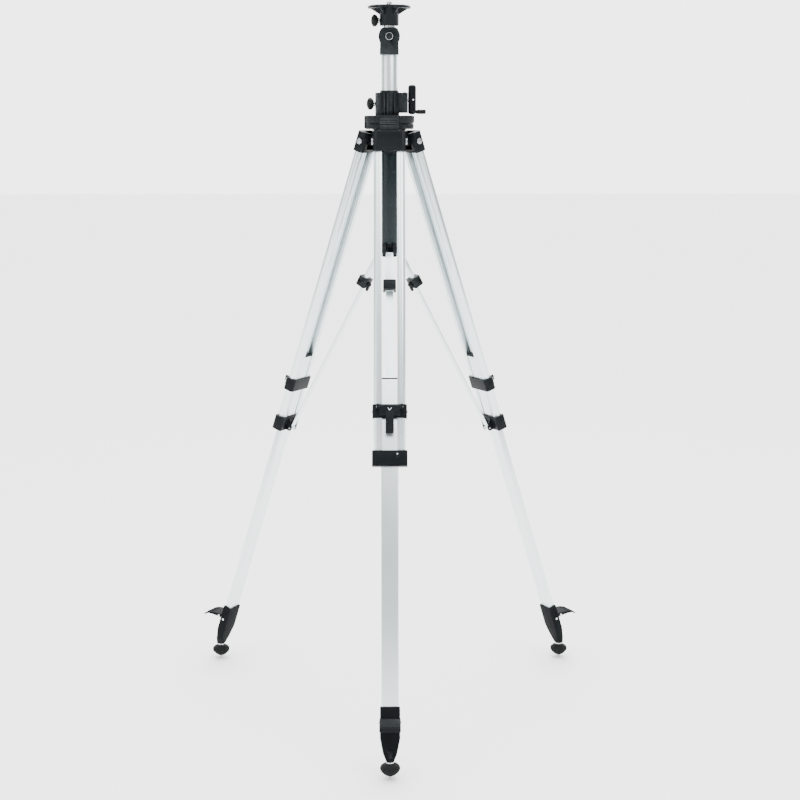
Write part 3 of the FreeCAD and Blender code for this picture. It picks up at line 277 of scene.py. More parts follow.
# the small-scale skin of a moulded or painted surface: grain, mottling and settled dust
def buildSkin():
    inputs = [(label, "Float", skin[label.lower()]) for label in ("Grain", "Mottle")]
    outputs = [(label, "Float") for label in ("Grain", "Mottle", "Dust")]
    group, ins, outs = newGroup("surfaceSkin", inputs, outputs)
    coords = group.nodes.new("ShaderNodeTexCoord")
    shape = group.nodes.new("ShaderNodeNewGeometry")
    grain = addNoise(group, coords.outputs["Object"], ins.outputs["Grain"], skin["grainDetail"])
    mottle = addNoise(group, coords.outputs["Object"], ins.outputs["Mottle"], skin["mottleDetail"],
                      skin["mottleRough"])
    upward = group.nodes.new("ShaderNodeSeparateXYZ")
    group.links.new(shape.outputs["Normal"], upward.inputs[0])
    level = addMath(group, "SUBTRACT", upward.outputs["Z"], skin["dustFacing"])
    patches = addMath(group, "MULTIPLY", mottle, skin["dustGain"])
    dusty = addMath(group, "MULTIPLY", addMath(group, "MAXIMUM", level, 0.0), patches)
    group.links.new(grain, outs.inputs["Grain"])
    group.links.new(mottle, outs.inputs["Mottle"])
    group.links.new(dusty, outs.inputs["Dust"])
    return group


drawLines = buildDrawLines()
edgeRub = buildWearHighlightMask()
surfaceSkin = buildSkin()


# materials

def startMaterial(name):
    material = bpy.data.materials.new(name)
    material.use_nodes = True
    return material, material.node_tree, material.node_tree.nodes["Principled BSDF"]


def useGroup(tree, group, **values):
    node = tree.nodes.new("ShaderNodeGroup")
    node.node_tree = group
    for label, value in values.items():
        node.inputs[label].default_value = value
    return node


def mixColour(tree, amount, first, second):
    mix = tree.nodes.new("ShaderNodeMix")
    mix.data_type = "RGBA"
    tree.links.new(amount, mix.inputs["Factor"])
    for socket, value in ((mix.inputs["A"], first), (mix.inputs["B"], second)):
        if isinstance(value, tuple):
            socket.default_value = value + (1,)
        else:
            tree.links.new(value, socket)
    return mix.outputs["Result"]


def mapRange(tree, value, low, high):
    node = tree.nodes.new("ShaderNodeMapRange")
    node.inputs["To Min"].default_value = low
    node.inputs["To Max"].default_value = high
    tree.links.new(value, node.inputs["Value"])
    return node.outputs["Result"]


def addBump(tree, shader, height, strength, distance):
    bump = tree.nodes.new("ShaderNodeBump")
    bump.inputs["Strength"].default_value = strength
    bump.inputs["Distance"].default_value = distance
    tree.links.new(height, bump.inputs["Height"])
    tree.links.new(bump.outputs["Normal"], shader.inputs["Normal"])


dust = {"colour": (0.2, 0.2, 0.19), "amount": 0.25}
metalShine = {"clouds": 0.35, "bumpHeight": 0.0001}
# each finish's rub colour lightens the edges: partly edge wear, partly a painted highlight on the bevels
blackFinishes = {
    "cast_black": {"base": (0.0030, 0.0044, 0.0056), "dull": (0.0060, 0.0080, 0.0092),
                   "rub": (0.040, 0.046, 0.048), "rough": (0.26, 0.40), "grain": 900.0, "bump": 0.25,
                   "height": 0.0002, "specular": 0.10},
    "moulded_black": {"base": (0.0028, 0.0040, 0.0050), "dull": (0.0055, 0.0072, 0.0082),
                      "rub": (0.032, 0.036, 0.038), "rough": (0.34, 0.48), "grain": 2200.0, "bump": 0.35,
                      "height": 0.00015, "specular": 0.09},
    "knob_black": {"base": (0.0040, 0.0048, 0.0052), "dull": (0.0080, 0.0095, 0.0095),
                   "rub": (0.032, 0.035, 0.036), "rough": (0.42, 0.58), "grain": 2600.0, "bump": 0.4,
                   "height": 0.00015, "specular": 0.10},
    "coated_tube": {"base": (0.0040, 0.0085, 0.0105), "dull": (0.0070, 0.0125, 0.0150),
                    "rub": (0.03, 0.037, 0.04), "rough": (0.20, 0.32), "grain": 500.0, "bump": 0.12,
                    "height": 0.0002, "specular": 0.16},
    "foot_black": {"base": (0.0028, 0.0036, 0.0044), "dull": (0.0052, 0.0064, 0.0072),
                   "rub": (0.032, 0.036, 0.038), "rough": (0.60, 0.76), "grain": 900.0, "bump": 0.25,
                   "height": 0.0002, "specular": 0.06},
    "rubber": {"base": (0.0045, 0.0055, 0.0058), "dull": (0.011, 0.012, 0.012), "rub": (0.026, 0.026, 0.025),
               "rough": (0.6, 0.85), "grain": 1600.0, "bump": 0.5, "height": 0.0003, "specular": 0.08},
}


def makeBlack(slot):
    finish = blackFinishes[slot]
    material, tree, shader = startMaterial(slot)
    surface = useGroup(tree, surfaceSkin, Grain=finish["grain"])
    rub = useGroup(tree, edgeRub)
    mottled = mixColour(tree, surface.outputs["Mottle"], finish["base"], finish["dull"])
    settled = mapRange(tree, surface.outputs["Dust"], 0.0, dust["amount"])
    dusted = mixColour(tree, settled, mottled, dust["colour"])
    # lighten the edges towards the rub colour: edge wear and also a painted highlight along the bevels
    wornAndHighlit = mixColour(tree, rub.outputs["Mask"], dusted, finish["rub"])
    tree.links.new(wornAndHighlit, shader.inputs["Base Color"])
    tree.links.new(mapRange(tree, surface.outputs["Mottle"], *finish["rough"]), shader.inputs["Roughness"])
    shader.inputs["Specular IOR Level"].default_value = finish["specular"]
    addBump(tree, shader, surface.outputs["Grain"], finish["bump"], finish["height"])
    return material


metalFinishes = {
    "anodised": {"bright": (0.85, 0.93, 0.94), "dark": (0.72, 0.80, 0.82), "rough": (0.28, 0.42),
                 "spacing": 1400.0, "stretch": 0.01, "bump": 0.1},
    "zinc_steel": {"bright": (0.80, 0.81, 0.82), "dark": (0.62, 0.63, 0.64), "rough": (0.18, 0.34),
                   "spacing": 1500.0, "stretch": 0.6, "bump": 0.08},
    "dull_steel": {"bright": (0.40, 0.41, 0.42), "dark": (0.28, 0.29, 0.30), "rough": (0.30, 0.46),
                   "spacing": 1500.0, "stretch": 0.6, "bump": 0.08},
}


def makeMetal(slot, name, along):
    finish = metalFinishes[slot]
    material, tree, shader = startMaterial(name)
    lines = useGroup(tree, drawLines, Along=along, Spacing=finish["spacing"], Stretch=finish["stretch"])
    streaked = mixColour(tree, lines.outputs["Lines"], finish["dark"], finish["bright"])
    clouds = mapRange(tree, lines.outputs["Clouds"], 0.0, metalShine["clouds"])
    cloudy = mixColour(tree, clouds, streaked, finish["bright"])
    tree.links.new(cloudy, shader.inputs["Base Color"])
    tree.links.new(mapRange(tree, lines.outputs["Lines"], *finish["rough"]), shader.inputs["Roughness"])
    shader.inputs["Metallic"].default_value = 1
    addBump(tree, shader, lines.outputs["Lines"], finish["bump"], metalShine["bumpHeight"])
    return material


materials = {slot: makeBlack(slot) for slot in blackFinishes}
for name in ("zinc_steel", "dull_steel", "anodised"):
    materials[name] = makeMetal(name, name, (0, 0, 1))
for side in sides:
    along = tuple(joints["leg_slide_" + side]["axis"])
    materials["anodised_leg_" + side] = makeMetal("anodised", "anodised_leg_" + side, along)
    reach = Vector(joints["strut_foot_" + side]["pos_m"]) - Vector(joints["strut_swing_" + side]["pos_m"])
    along = tuple(reach.normalized())
    materials["anodised_strut_" + side] = makeMetal("anodised", "anodised_strut_" + side, along)


def paint(piece, name):
    piece.data.materials.clear()
    piece.data.materials.append(materials[name])


def finishOf(node):
    side = node.rsplit("_", 1)[-1]
    if slotOf[node] != "anodised" or side not in sides:
        return slotOf[node]
    return ("anodised_strut_" if node.startswith("strut") else "anodised_leg_") + side


for node, thing in nodes.items():
    paint(thing, finishOf(node))
print("materials made:", len(materials))


# modelling helpers

cleaning = {"merge": 1e-6, "mergeCad": 2e-6, "flat": 0.8}  # merge distances in metres, flat angle in degrees
facing = {"up": 0.9, "end": 0.99, "endDepth": 0.0004}


def pickOnly(piece):
    bpy.ops.object.select_all(action="DESELECT")
    piece.select_set(True)
    bpy.context.view_layer.objects.active = piece


def openEdit(piece, everything=False):
    pickOnly(piece)
    bpy.ops.object.mode_set(mode="EDIT")
    bpy.ops.mesh.select_all(action="SELECT" if everything else "DESELECT")


def closeEdit():
    bpy.ops.object.mode_set(mode="OBJECT")


# select the faces that wanted accepts, by centre and normal, in edit mode
def pickFaces(piece, wanted):
    bpy.ops.mesh.select_mode(type="FACE")
    bpy.ops.object.mode_set(mode="OBJECT")
    for face in piece.data.polygons:
        face.select = bool(wanted(face.center, face.normal))
    bpy.ops.object.mode_set(mode="EDIT")


def applyBevel(piece, width, segments, angle=35):
    pickOnly(piece)
    bevel = piece.modifiers.new("edges", "BEVEL")
    bevel.width = width
    bevel.segments = segments
    bevel.limit_method = "ANGLE"
    bevel.angle_limit = math.radians(angle)
    bevel.use_clamp_overlap = True
    bpy.ops.object.modifier_apply(modifier=bevel.name)


def smooth(piece, angle=32):
    pickOnly(piece)
    bpy.ops.object.shade_smooth_by_angle(angle=math.radians(angle))


# put a finished piece in the tripod's frame and hand it to its body
def settle(piece, name, body, slot, finish=None, matrix=None, replaced=()):
    piece.name = name
    piece.data.name = name
    pickOnly(piece)
    bpy.ops.object.transform_apply(location=True, rotation=True, scale=True)
    if matrix is not None:
        piece.data.transform(matrix)
    paint(piece, finish or slot)
    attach(piece, body)
    if replaced:
        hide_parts(*replaced)
    return piece


def duplicate(piece):
    copy = piece.copy()
    copy.data = piece.data.copy()
    bpy.context.scene.collection.objects.link(copy)
    return copy


# spin a profile of (radius, height) points about Z; both its ends lie on the axis, or it is a ring
def spunShape(name, profile, steps):
    mesh = bpy.data.meshes.new(name)
    closed = profile[0][0] > cleaning["merge"]
    count = len(profile)
    edges = [(i, i + 1) for i in range(count - 1)] + ([(count - 1, 0)] if closed else [])
    mesh.from_pydata([(r, 0, z) for r, z in profile], edges, [])
    piece = bpy.data.objects.new(name, mesh)
    bpy.context.scene.collection.objects.link(piece)
    openEdit(piece, everything=True)
    bpy.ops.mesh.spin(steps=steps, angle=math.tau, center=(0, 0, 0), axis=(0, 0, 1), use_auto_merge=True)
    bpy.ops.mesh.select_all(action="SELECT")
    bpy.ops.mesh.remove_doubles(threshold=cleaning["merge"])
    bpy.ops.mesh.normals_make_consistent(inside=False)
    closeEdit()
    return piece


# press grooves into a spun shape's rim between two heights
def flute(piece, count, depth, innerRadius, low, high):
    for vertex in piece.data.vertices:
        radius = math.hypot(vertex.co.x, vertex.co.y)
        if radius < innerRadius or not low <= vertex.co.z <= high:
            continue
        wave = 0.5 - 0.5 * math.cos(count * math.atan2(vertex.co.y, vertex.co.x))
        share = min(1.0, (radius - innerRadius) / depth)
        factor = 1 - depth * share * wave / radius
        vertex.co.x *= factor
        vertex.co.y *= factor


# a screw: a grid wrapped into a tube, its ridge following the thread's helix
def threadedRod(name, size):
    radius, pitch, low, high = (size[key] for key in ("radius", "pitch", "low", "high"))
    rings = int((high - low) / pitch * size["perTurn"])
    depth = pitch * size["depth"]
    bpy.ops.object.select_all(action="DESELECT")
    bpy.ops.mesh.primitive_grid_add(x_subdivisions=size["around"], y_subdivisions=rings, size=1)
    piece = bpy.context.object
    for vertex in piece.data.vertices:
        turn = vertex.co.x + 0.5
        height = low + (vertex.co.y + 0.5) * (high - low)
        phase = (height / pitch - turn) % 1
        wave = abs(2 * phase - 1)
        reach = radius - depth * wave
        fromTip = min(high - height, height - low)
        reach = min(reach, radius - size["tip"] + fromTip)
        angle = -turn * math.tau
        vertex.co = (reach * math.cos(angle), reach * math.sin(angle), height)
    openEdit(piece, everything=True)
    bpy.ops.mesh.remove_doubles(threshold=cleaning["merge"])
    bpy.ops.mesh.fill_holes(sides=0)
    bpy.ops.mesh.select_all(action="SELECT")
    bpy.ops.mesh.normals_make_consistent(inside=False)
    closeEdit()
    piece.name = name
    return piece


# a block with rounded edges
def roundedBlock(name, size, centre, width, segments=3):
    bpy.ops.object.select_all(action="DESELECT")
    bpy.ops.mesh.primitive_cube_add(size=1, location=centre)
    piece = bpy.context.object
    piece.name = name
    piece.scale = size
    bpy.ops.object.transform_apply(location=True, rotation=False, scale=True)
    applyBevel(piece, width, segments)
    return piece


socketHead = {"sides": 32, "rim": 0.42, "slope": 0.04, "depth": 0.55, "edge": 0.14}  # shares of the head


# a socket screw's head standing on the XY plane
def screwHead(name, radius, height):
    bpy.ops.object.select_all(action="DESELECT")
    bpy.ops.mesh.primitive_cylinder_add(vertices=socketHead["sides"], radius=radius, depth=height,
                                        location=(0, 0, height / 2))
    piece = bpy.context.object
    piece.name = name
    bpy.ops.object.transform_apply(location=True, rotation=False, scale=False)
    openEdit(piece)
    pickFaces(piece, lambda centre, normal: normal.z > facing["up"])
    bpy.ops.mesh.inset(thickness=radius * socketHead["rim"], depth=0)
    bpy.ops.mesh.inset(thickness=radius * socketHead["slope"], depth=-height * socketHead["depth"])
    closeEdit()
    applyBevel(piece, min(radius, height) * socketHead["edge"], 2)
    smooth(piece)
    return piece


# a copy of a CAD node with its edges rounded, as a cast, moulded or extruded piece has them
def castCopy(node, width, segments=2, angle=40, shape=None, finish=None):
    body = nodes[node]["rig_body"]
    piece = duplicate(nodes[node])
    piece.parent = None
    piece.hide_render = False
    piece.hide_viewport = False
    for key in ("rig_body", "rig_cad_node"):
        if key in piece:
            del piece[key]
    openEdit(piece, everything=True)
    bpy.ops.mesh.remove_doubles(threshold=cleaning["mergeCad"])
    bpy.ops.mesh.select_all(action="SELECT")
    bpy.ops.mesh.dissolve_limited(angle_limit=math.radians(cleaning["flat"]))
    closeEdit()
    if shape:
        shape(piece)
    applyBevel(piece, width, segments, angle)
    smooth(piece)
    return settle(piece, node + "_cast", body, slotOf[node], finish or finishOf(node), replaced=(node,))


# a frame whose Z axis points in a direction
def axisFrame(origin, direction):
    matrix = Vector(direction).to_track_quat("Z", "Y").to_matrix().to_4x4()
    matrix.translation = Vector(origin)
    return matrix


# select the flat face that lies furthest in a direction, in edit mode
def endFace(piece, direction):
    direction = Vector(direction).normalized()
    reach = max(direction.dot(vertex.co) for vertex in piece.data.vertices)
    pickFaces(piece, lambda centre, normal: normal.dot(direction) > facing["end"]
              and direction.dot(centre) > reach - facing["endDepth"])


# a shaping step that sinks the middle of a piece's end face
def dishEnd(direction, rim, depth):
    def shape(piece):
        openEdit(piece)
        endFace(piece, direction)
        bpy.ops.mesh.inset(thickness=rim, depth=0)
        bpy.ops.mesh.inset(thickness=depth, depth=-depth)
        closeEdit()
    return shape


def addScrew(name, origin, direction, body, radius, height, finish="zinc_steel"):
    piece = screwHead(name, radius, height)
    return settle(piece, name, body, finish, matrix=axisFrame(origin, direction))


# platform, screw and swivel

table = {"rim": 0.005, "groove": 0.0009, "depth": 0.0007, "edge": 0.0008}


def grooveTable(piece):
    openEdit(piece)
    endFace(piece, (0, 0, 1))
    bpy.ops.mesh.inset(thickness=table["rim"], depth=0)
    bpy.ops.mesh.inset(thickness=table["groove"], depth=-table["depth"])
    bpy.ops.mesh.inset(thickness=table["groove"], depth=0)
    bpy.ops.mesh.inset(thickness=table["groove"], depth=table["depth"])
    closeEdit()


castCopy("platform", table["edge"], shape=grooveTable)

screw = {"radius": 0.00794, "pitch": 0.00231, "low": -0.003, "high": 0.011, "tip": 0.0014, "around": 32,
         "perTurn": 6, "depth": 0.6,  # the depth is a share of the pitch
         "collar": 0.0094, "root": -0.005, "chamfer": 0.0004}

thread = threadedRod("screwThread", screw)
smooth(thread, 50)
settle(thread, "screwThread", "platform", "zinc_steel", replaced=("laser_screw",))
collar = spunShape("screwCollar", [(0, screw["root"]), (screw["collar"], screw["root"]),
                                   (screw["collar"], -screw["chamfer"]),
                                   (screw["collar"] - screw["chamfer"], 0), (0, 0)], 48)
smooth(collar)
settle(collar, "screwCollar", "platform", "zinc_steel")

band = {"inner": 0.0158, "outer": 0.01675, "low": -0.0588, "high": -0.0542, "groove": 0.0005, "edge": 0.0003}
bandMiddle = (band["low"] + band["high"]) / 2
spigotBand = spunShape("spigotBand", [
    (band["inner"], band["low"]), (band["outer"] - band["edge"], band["low"]),
    (band["outer"], band["low"] + band["edge"]), (band["outer"], bandMiddle - band["groove"]),
    (band["outer"] - band["groove"], bandMiddle), (band["outer"], bandMiddle + band["groove"]),
    (band["outer"], band["high"] - band["edge"]), (band["outer"] - band["edge"], band["high"]),
    (band["inner"], band["high"])], 64)
smooth(spigotBand)
settle(spigotBand, "spigotBand", "tilt_head", "zinc_steel")
print("platform modelled")


# knobs with their lock nuts

knobs = {"platform_knob": (-0.0273, 0, -0.040), "column_lock_knob": (-0.0401, 0, -0.264)}
knobShape = {"stud": 0.004, "studDepth": 0.0100, "studTip": (0.0006, 0.0008), "neck": 0.0066,
             "neckStart": 0.0002, "neckFlare": (0.0006, 0.0008), "radius": 0.0167, "start": 0.0036,
             "middle": 0.0134, "end": 0.0229, "lowerSteps": 8, "lowerTurn": 11, "upperSteps": 9,
             "upperTurn": 10, "steps": 144, "flutes": 8, "depth": 0.0016, "fluteStart": 0.0120}
nutShape = {"radius": 0.0078, "height": 0.0032, "chamfer": 0.0004, "inset": 0.14, "rise": 0.0003}
backKnob = {"edge": 0.0011, "rim": 0.0035, "dish": 0.0009}


def lockNut(name):
    bpy.ops.object.select_all(action="DESELECT")
    bpy.ops.mesh.primitive_cylinder_add(vertices=6, radius=nutShape["radius"], depth=nutShape["height"],
                                        location=(0, 0, nutShape["height"] / 2))
    nut = bpy.context.object
    nut.name = name
    bpy.ops.object.transform_apply(location=True, rotation=False, scale=False)
    openEdit(nut)
    pickFaces(nut, lambda centre, normal: abs(normal.z) > facing["up"])
    bpy.ops.mesh.inset(thickness=nutShape["radius"] * nutShape["inset"], depth=nutShape["rise"])
    closeEdit()
    applyBevel(nut, nutShape["chamfer"], 2)
    smooth(nut)
    return nut


# a knob whose grip is an oval in profile, fluted around its rim, on a short neck and a stud
def ovalKnob(name):
    shape = knobShape
    tip, flare = shape["studTip"], shape["neckFlare"]
    profile = [(0, -shape["studDepth"]), (shape["stud"] - tip[0], -shape["studDepth"]),
               (shape["stud"], tip[1] - shape["studDepth"]), (shape["stud"], shape["neckStart"]),
               (shape["neck"], shape["neckStart"]), (shape["neck"] + flare[0], shape["start"] - flare[1])]
    for step in range(1, shape["lowerSteps"] + 1):
        angle = math.radians(step * shape["lowerTurn"])
        profile.append((shape["neck"] + (shape["radius"] - shape["neck"]) * math.sin(angle),
                        shape["middle"] - (shape["middle"] - shape["start"]) * math.cos(angle)))
    for step in range(shape["upperSteps"]):
        angle = math.radians(step * shape["upperTurn"])
        profile.append((shape["radius"] * math.cos(angle),
                        shape["middle"] + (shape["end"] - shape["middle"]) * math.sin(angle)))
    profile.append((0, shape["end"]))
    knob = spunShape(name, profile, shape["steps"])
    flute(knob, shape["flutes"], shape["depth"], shape["fluteStart"], shape["start"], shape["end"])
    smooth(knob, 50)
    return knob


for node, place in knobs.items():
    body = nodes[node]["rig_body"]
    knobFrame = axisFrame(place, (-1, 0, 0))
    settle(ovalKnob(node + "_grip"), node + "_grip", body, slotOf[node], matrix=knobFrame, replaced=(node,))
    settle(lockNut(node + "_nut"), node + "_nut", body, "zinc_steel", matrix=knobFrame)
castCopy("tilt_knob", backKnob["edge"], shape=dishEnd((0, 1, 0), backKnob["rim"], backKnob["dish"]))
print("knobs modelled")


# tilt joint and column

tiltEdges = {"tilt_fork": 0.0011, "tilt_socket": 0.0009, "tilt_bolt": 0.0004, "column_tube": 0.0004,
             "guide_tube": 0.0004, "strut_hub": 0.0009, "pivot_pins": 0.0006}
boltRing = {"inner": 0.0088, "outer": 0.0101, "low": -0.0004, "high": 0.0005, "edge": 0.0002,
            "place": (0, -0.0291, -0.083)}

tiltFinishes = {"tilt_bolt": "cast_black", "pivot_pins": "dull_steel"}
for node, width in tiltEdges.items():
    castCopy(node, width, finish=tiltFinishes.get(node))
ring = spunShape("boltRing", [(boltRing["inner"], boltRing["low"]), (boltRing["outer"], boltRing["low"]),
                              (boltRing["outer"], boltRing["high"] - boltRing["edge"]),
                              (boltRing["outer"] - boltRing["edge"], boltRing["high"]),
                              (boltRing["inner"] + boltRing["edge"], boltRing["high"]),
                              (boltRing["inner"], boltRing["high"] - boltRing["edge"])], 64)
smooth(ring)
settle(ring, "boltRing", "tilt_head", "zinc_steel", matrix=axisFrame(boltRing["place"], (0, -1, 0)))
print("tilt joint and column modelled")


# crank housing, arm and grip

housing = {"edge": 0.0012, "screwRadius": 0.0028, "screwHeight": 0.0022,
           "screws": ((0.0425, 0.000), (0.0425, 0.036), (-0.014, 0.036)), "top": -0.234}
crankArm = {"size": (0.0224, 0.0189, 0.0809), "centre": (0.06325, 0.0295, -0.2525), "edge": 0.0072,
            "segments": 6, "panelRim": 0.0012, "panelDepth": 0.0006, "screw": (0.0662, 0.0206, -0.253),
            "screwRadius": 0.0024, "screwHeight": 0.0008}
grip = {"origin": (0.0745, 0.0295, -0.286), "pin": 0.004, "pinDepth": 0.007, "neck": 0.0054,
        "neckStart": 0.0004, "neckEnd": 0.0044, "radius": 0.0065, "waist": 0.0058, "ribStart": 0.0050,
        "ribPitch": 0.0030, "ribCount": 6, "length": 0.0275,
        "rib": ((0.0002, 0), (0, 0.0003), (0, 0.0016), (0.0002, 0.0019)),  # below the radius, above the start
        "valley": (0.0022, 0.0027),
        "end": ((0.0002, 0.0037), (0, 0.0030), (0.0008, 0.0012), (0.0026, 0))}  # below the radius and length

castCopy("crank_housing", housing["edge"])
for number, (x, y) in enumerate(housing["screws"], 1):
    addScrew("housingScrew%d" % number, (x, y, housing["top"]), (0, 0, 1), "head",
             housing["screwRadius"], housing["screwHeight"])

arm = roundedBlock("crankArm", crankArm["size"], crankArm["centre"], crankArm["edge"],
                   crankArm["segments"])
openEdit(arm)
endFace(arm, (0, -1, 0))
bpy.ops.mesh.inset(thickness=crankArm["panelRim"], depth=0)
bpy.ops.mesh.inset(thickness=crankArm["panelDepth"], depth=-crankArm["panelDepth"])
closeEdit()
smooth(arm)
settle(arm, "crankArm", "crank", slotOf["crank_arm"], replaced=("crank_arm",))
addScrew("armScrew", crankArm["screw"], (0, -1, 0), "crank", crankArm["screwRadius"],
         crankArm["screwHeight"])

gripProfile = [(0, -grip["pinDepth"]), (grip["pin"], -grip["pinDepth"]), (grip["pin"], grip["neckStart"]),
               (grip["neck"], grip["neckStart"]), (grip["neck"], grip["neckEnd"])]
for rib in range(grip["ribCount"]):
    start = grip["ribStart"] + rib * grip["ribPitch"]
    gripProfile += [(grip["radius"] - inset, start + rise) for inset, rise in grip["rib"]]
    gripProfile += [(grip["waist"], start + rise) for rise in grip["valley"]]
gripProfile += [(grip["radius"] - inset, grip["length"] - drop) for inset, drop in grip["end"]]
gripProfile.append((0, grip["length"]))
handle = spunShape("crankGrip", gripProfile, 40)
smooth(handle, 40)
settle(handle, "crankGrip", "crank_handle", slotOf["crank_handle"],
       matrix=axisFrame(grip["origin"], (1, 0, 0)), replaced=("crank_handle",))
print("crank modelled")


# head ring with its knurled rims, and the casting below

headEdges = {"ring": 0.0007, "casting": 0.0018}
rims = {
    "upperRim": {"inner": 0.0672, "outer": 0.0692, "low": -0.3145, "high": -0.2985},
    "lowerRim": {"inner": 0.0657, "outer": 0.0677, "low": -0.3312, "high": -0.3205},
}
ringRibs = {"size": (0.052, 0.0012, 0.0030), "out": -0.0702, "top": -0.3050, "step": -0.0062, "count": 4,
            "bevel": 0.0005}
knurl = {"count": 90, "depth": 0.0009, "bevel": 0.0006, "steps": 720}

castCopy("head_ring", headEdges["ring"])
for name, size in rims.items():
    edge = knurl["bevel"]
    rim = spunShape(name, [(size["inner"], size["low"]), (size["outer"] - edge, size["low"]),
                           (size["outer"], size["low"] + edge), (size["outer"], size["high"] - edge),
                           (size["outer"] - edge, size["high"]), (size["inner"], size["high"])],
                    knurl["steps"])
    flute(rim, knurl["count"], knurl["depth"], size["outer"] - knurl["depth"], size["low"], size["high"])
    smooth(rim, 40)
    settle(rim, name, "head", "cast_black")
for number in range(ringRibs["count"]):
    place = (0, ringRibs["out"], ringRibs["top"] + number * ringRibs["step"])
    rib = roundedBlock("ringRib%d" % (number + 1), ringRibs["size"], place, ringRibs["bevel"])
    smooth(rib)
    settle(rib, rib.name, "head", "moulded_black")
castCopy("head_casting", headEdges["casting"], segments=3)
print("head modelled")


# legs

legEdges = {"rails": (0.0004, 2), "inner_tube": (0.0004, 2), "clamp_collar": (0.0028, 4),
            "clamp_lever": (0.0016, 3), "end_collar": (0.0026, 4), "leg_pins": (0.0004, 2)}
shoulderPanel = {"edge": 0.0016, "rim": 0.005, "depth": 0.0007, "tenonEnd": -0.0325}
sideScrew = {"across": 0.0462, "along": -0.7475, "radius": 0.0034, "height": 0.0014}
spring = {"radius": 0.0008, "length": 0.0085, "spread": 38, "out": -0.0248, "along": -0.7475,
          "endWidth": 0.7, "endStart": 0.3}  # the last two are shares of the radius
leverRibs = {"size": (0.0185, 0.0016, 0.0018), "out": -0.0254, "along": -0.786, "step": -0.0045, "count": 3,
             "bevel": 0.0006}
plate = {"size": (0.0062, 0.0014, 0.0138), "centre": (0.0200, -0.0155, -0.8645), "bevel": 0.0006,
         "screw": (0.0200, -0.0162, -0.8615), "radius": 0.0021, "height": 0.0009}
tubeCap = {"size": (0.0452, 0.0192, 0.0065), "centre": (0, 0, -0.6600), "bevel": 0.0014}


# sink a panel in the outer face, and end the tenons higher up inside the rails
def panelShoulder(direction, place):
    def shape(piece):
        toLeg = place.inverted()
        for vertex in piece.data.vertices:
            local = toLeg @ vertex.co
            if local.z < shoulderPanel["tenonEnd"]:
                local.z = shoulderPanel["tenonEnd"]
                vertex.co = place @ local
        openEdit(piece)
        endFace(piece, direction)
        bpy.ops.mesh.inset(thickness=shoulderPanel["rim"], depth=0)
        bpy.ops.mesh.inset(thickness=shoulderPanel["depth"], depth=-shoulderPanel["depth"])
        closeEdit()
    return shape


# one leg of the lever's spring: a short wire with rounded ends
def springWire(name, tilt):
    half = spring["length"] / 2
    tip = spring["radius"]
    shoulder, drop = tip * spring["endWidth"], tip * spring["endStart"]
    wire = spunShape(name, [(0, -half), (shoulder, -half + drop), (tip, -half + tip), (tip, half - tip),
                            (shoulder, half - drop), (0, half)], 12)
    smooth(wire, 50)
    lean = Matrix.Rotation(math.radians(tilt), 4, "Y")
    shift = Matrix.Translation((math.sin(math.radians(tilt)) * half, spring["out"], spring["along"] + half))
    return wire, shift @ lean


def modelLeg(side):
    place = legFrame(side)
    outward = -place.col[1].to_3d()
    across = place.col[0].to_3d()
    lever, leg = "clamp_lever_" + side, "leg_" + side
    castCopy("shoulder_" + side, shoulderPanel["edge"], segments=3, shape=panelShoulder(outward, place))
    for node, (width, segments) in legEdges.items():
        castCopy(node + "_" + side, width, segments, finish="dull_steel" if node == "leg_pins" else None)
    for sign, end in ((1, "Right"), (-1, "Left")):
        origin = place @ Vector((sign * sideScrew["across"], 0, sideScrew["along"]))
        addScrew("collarScrew%s_%s" % (end, side), origin, across * sign, leg, sideScrew["radius"],
                 sideScrew["height"], "knob_black")
        wire, tilt = springWire("springWire%s_%s" % (end, side), sign * spring["spread"])
        settle(wire, wire.name, lever, "zinc_steel", matrix=place @ tilt)
    for number in range(leverRibs["count"]):
        name = "leverRib%d_%s" % (number + 1, side)
        centre = (0, leverRibs["out"], leverRibs["along"] + number * leverRibs["step"])
        rib = roundedBlock(name, leverRibs["size"], centre, leverRibs["bevel"])
        smooth(rib)
        settle(rib, name, lever, "moulded_black", matrix=place)
    badge = roundedBlock("collarPlate_" + side, plate["size"], plate["centre"], plate["bevel"])
    smooth(badge)
    settle(badge, badge.name, leg, "knob_black", matrix=place)
    addScrew("plateScrew_" + side, place @ Vector(plate["screw"]), outward, leg, plate["radius"],
             plate["height"])
    cap = roundedBlock("tubeCap_" + side, tubeCap["size"], tubeCap["centre"], tubeCap["bevel"])
    smooth(cap)
    settle(cap, cap.name, "lower_leg_" + side, "moulded_black", matrix=place)


for side in sides:
    modelLeg(side)
print("legs modelled")


# feet

footShape = {"edge": 0.0026, "spikeEdge": 0.0005, "ballFlutes": 16, "ballDepth": 0.0013, "fluteStart": 0.0185,
             "fluteLow": 0.012, "fluteHigh": 0.034}
ballProfile = [(0.0053, 0.0090), (0.0090, 0.0090), (0.0150, 0.0126), (0.0200, 0.0170), (0.0238, 0.0212),
               (0.0258, 0.0250), (0.0264, 0.0285), (0.0258, 0.0318), (0.0236, 0.0350), (0.0200, 0.0380),
               (0.0165, 0.0400), (0.0140, 0.0409), (0.0126, 0.0407), (0.0118, 0.0396), (0.0112, 0.0386),
               (0.0053, 0.0386)]
neckBoss = {"radius": 0.0068, "low": 0.050, "high": 0.0755, "edge": 0.0012, "steps": 48}
pedalRibs = {"size": (0.046, 0.0018, 0.0016), "start": (-0.0160, 0.1546), "step": (-0.0050, -0.0006),
             "count": 4, "bevel": 0.0006}
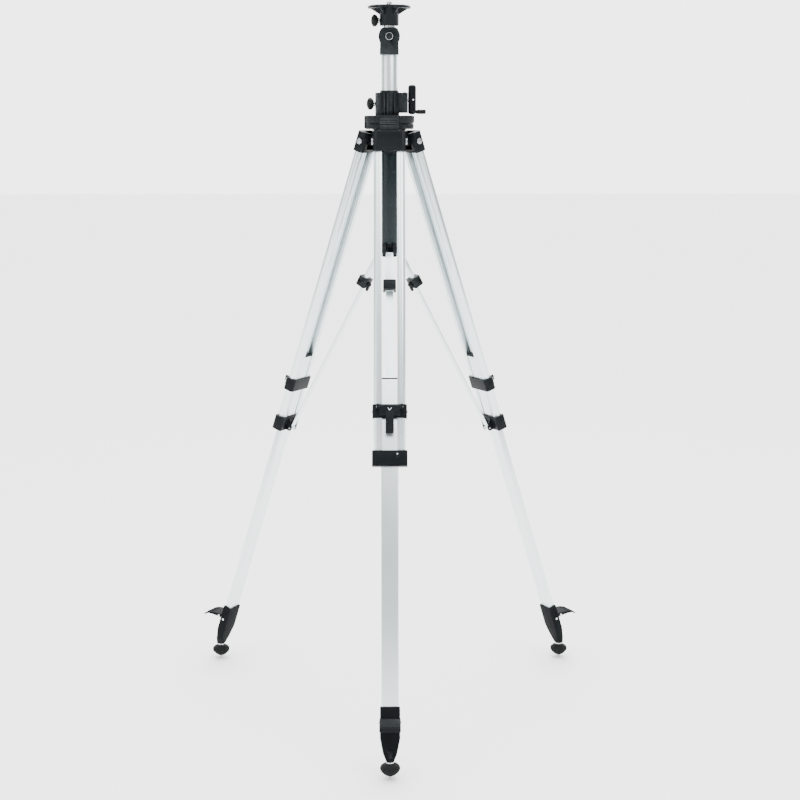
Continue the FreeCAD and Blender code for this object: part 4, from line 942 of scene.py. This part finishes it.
footBolts = {"pedal": (0.0275, 0.0140, 0.1472), "socket": (0.0260, 0.0290, 0.1360), "radius": 0.0033,
             "height": 0.0016}


def modelFoot(side):
    place = footFrame(side)
    across = place.col[0].to_3d()
    leg = "lower_leg_" + side
    castCopy("foot_" + side, footShape["edge"], segments=4, angle=24, finish="foot_black")
    castCopy("foot_spike_" + side, footShape["spikeEdge"])
    ball = spunShape("footBall_" + side, ballProfile, 96)
    flute(ball, footShape["ballFlutes"], footShape["ballDepth"], footShape["fluteStart"],
          footShape["fluteLow"], footShape["fluteHigh"])
    smooth(ball, 50)
    settle(ball, ball.name, "foot_ball_" + side, "rubber", matrix=place, replaced=("foot_ball_" + side,))
    boss = spunShape("neckBoss_" + side, [
        (0, neckBoss["low"]), (neckBoss["radius"], neckBoss["low"]),
        (neckBoss["radius"], neckBoss["high"] - neckBoss["edge"] * 2),
        (neckBoss["radius"] - neckBoss["edge"], neckBoss["high"] - neckBoss["edge"] * 0.5),
        (neckBoss["radius"] - neckBoss["edge"] * 2, neckBoss["high"]), (0, neckBoss["high"])],
        neckBoss["steps"])
    smooth(boss)
    settle(boss, boss.name, leg, "cast_black", "foot_black", matrix=place)
    for number in range(pedalRibs["count"]):
        name = "pedalRib%d_%s" % (number + 1, side)
        y = pedalRibs["start"][0] + number * pedalRibs["step"][0]
        z = pedalRibs["start"][1] + number * pedalRibs["step"][1]
        rib = roundedBlock(name, pedalRibs["size"], (0, y, z), pedalRibs["bevel"])
        smooth(rib)
        settle(rib, name, leg, "cast_black", "foot_black", matrix=place)
    for part in ("pedal", "socket"):
        x, y, z = footBolts[part]
        for sign, end in ((1, "Right"), (-1, "Left")):
            addScrew("%sBolt%s_%s" % (part, end, side), place @ Vector((sign * x, y, z)), across * sign, leg,
                     footBolts["radius"], footBolts["height"])


for side in sides:
    modelFoot(side)
print("feet modelled")


# struts

strutEdges = {"strut_channel": 0.0005, "strut_bar": 0.0003, "strut_clamp": 0.0012, "strut_knob": 0.0009}
for side in sides:
    for node, width in strutEdges.items():
        castCopy(node + "_" + side, width)
print("struts modelled")
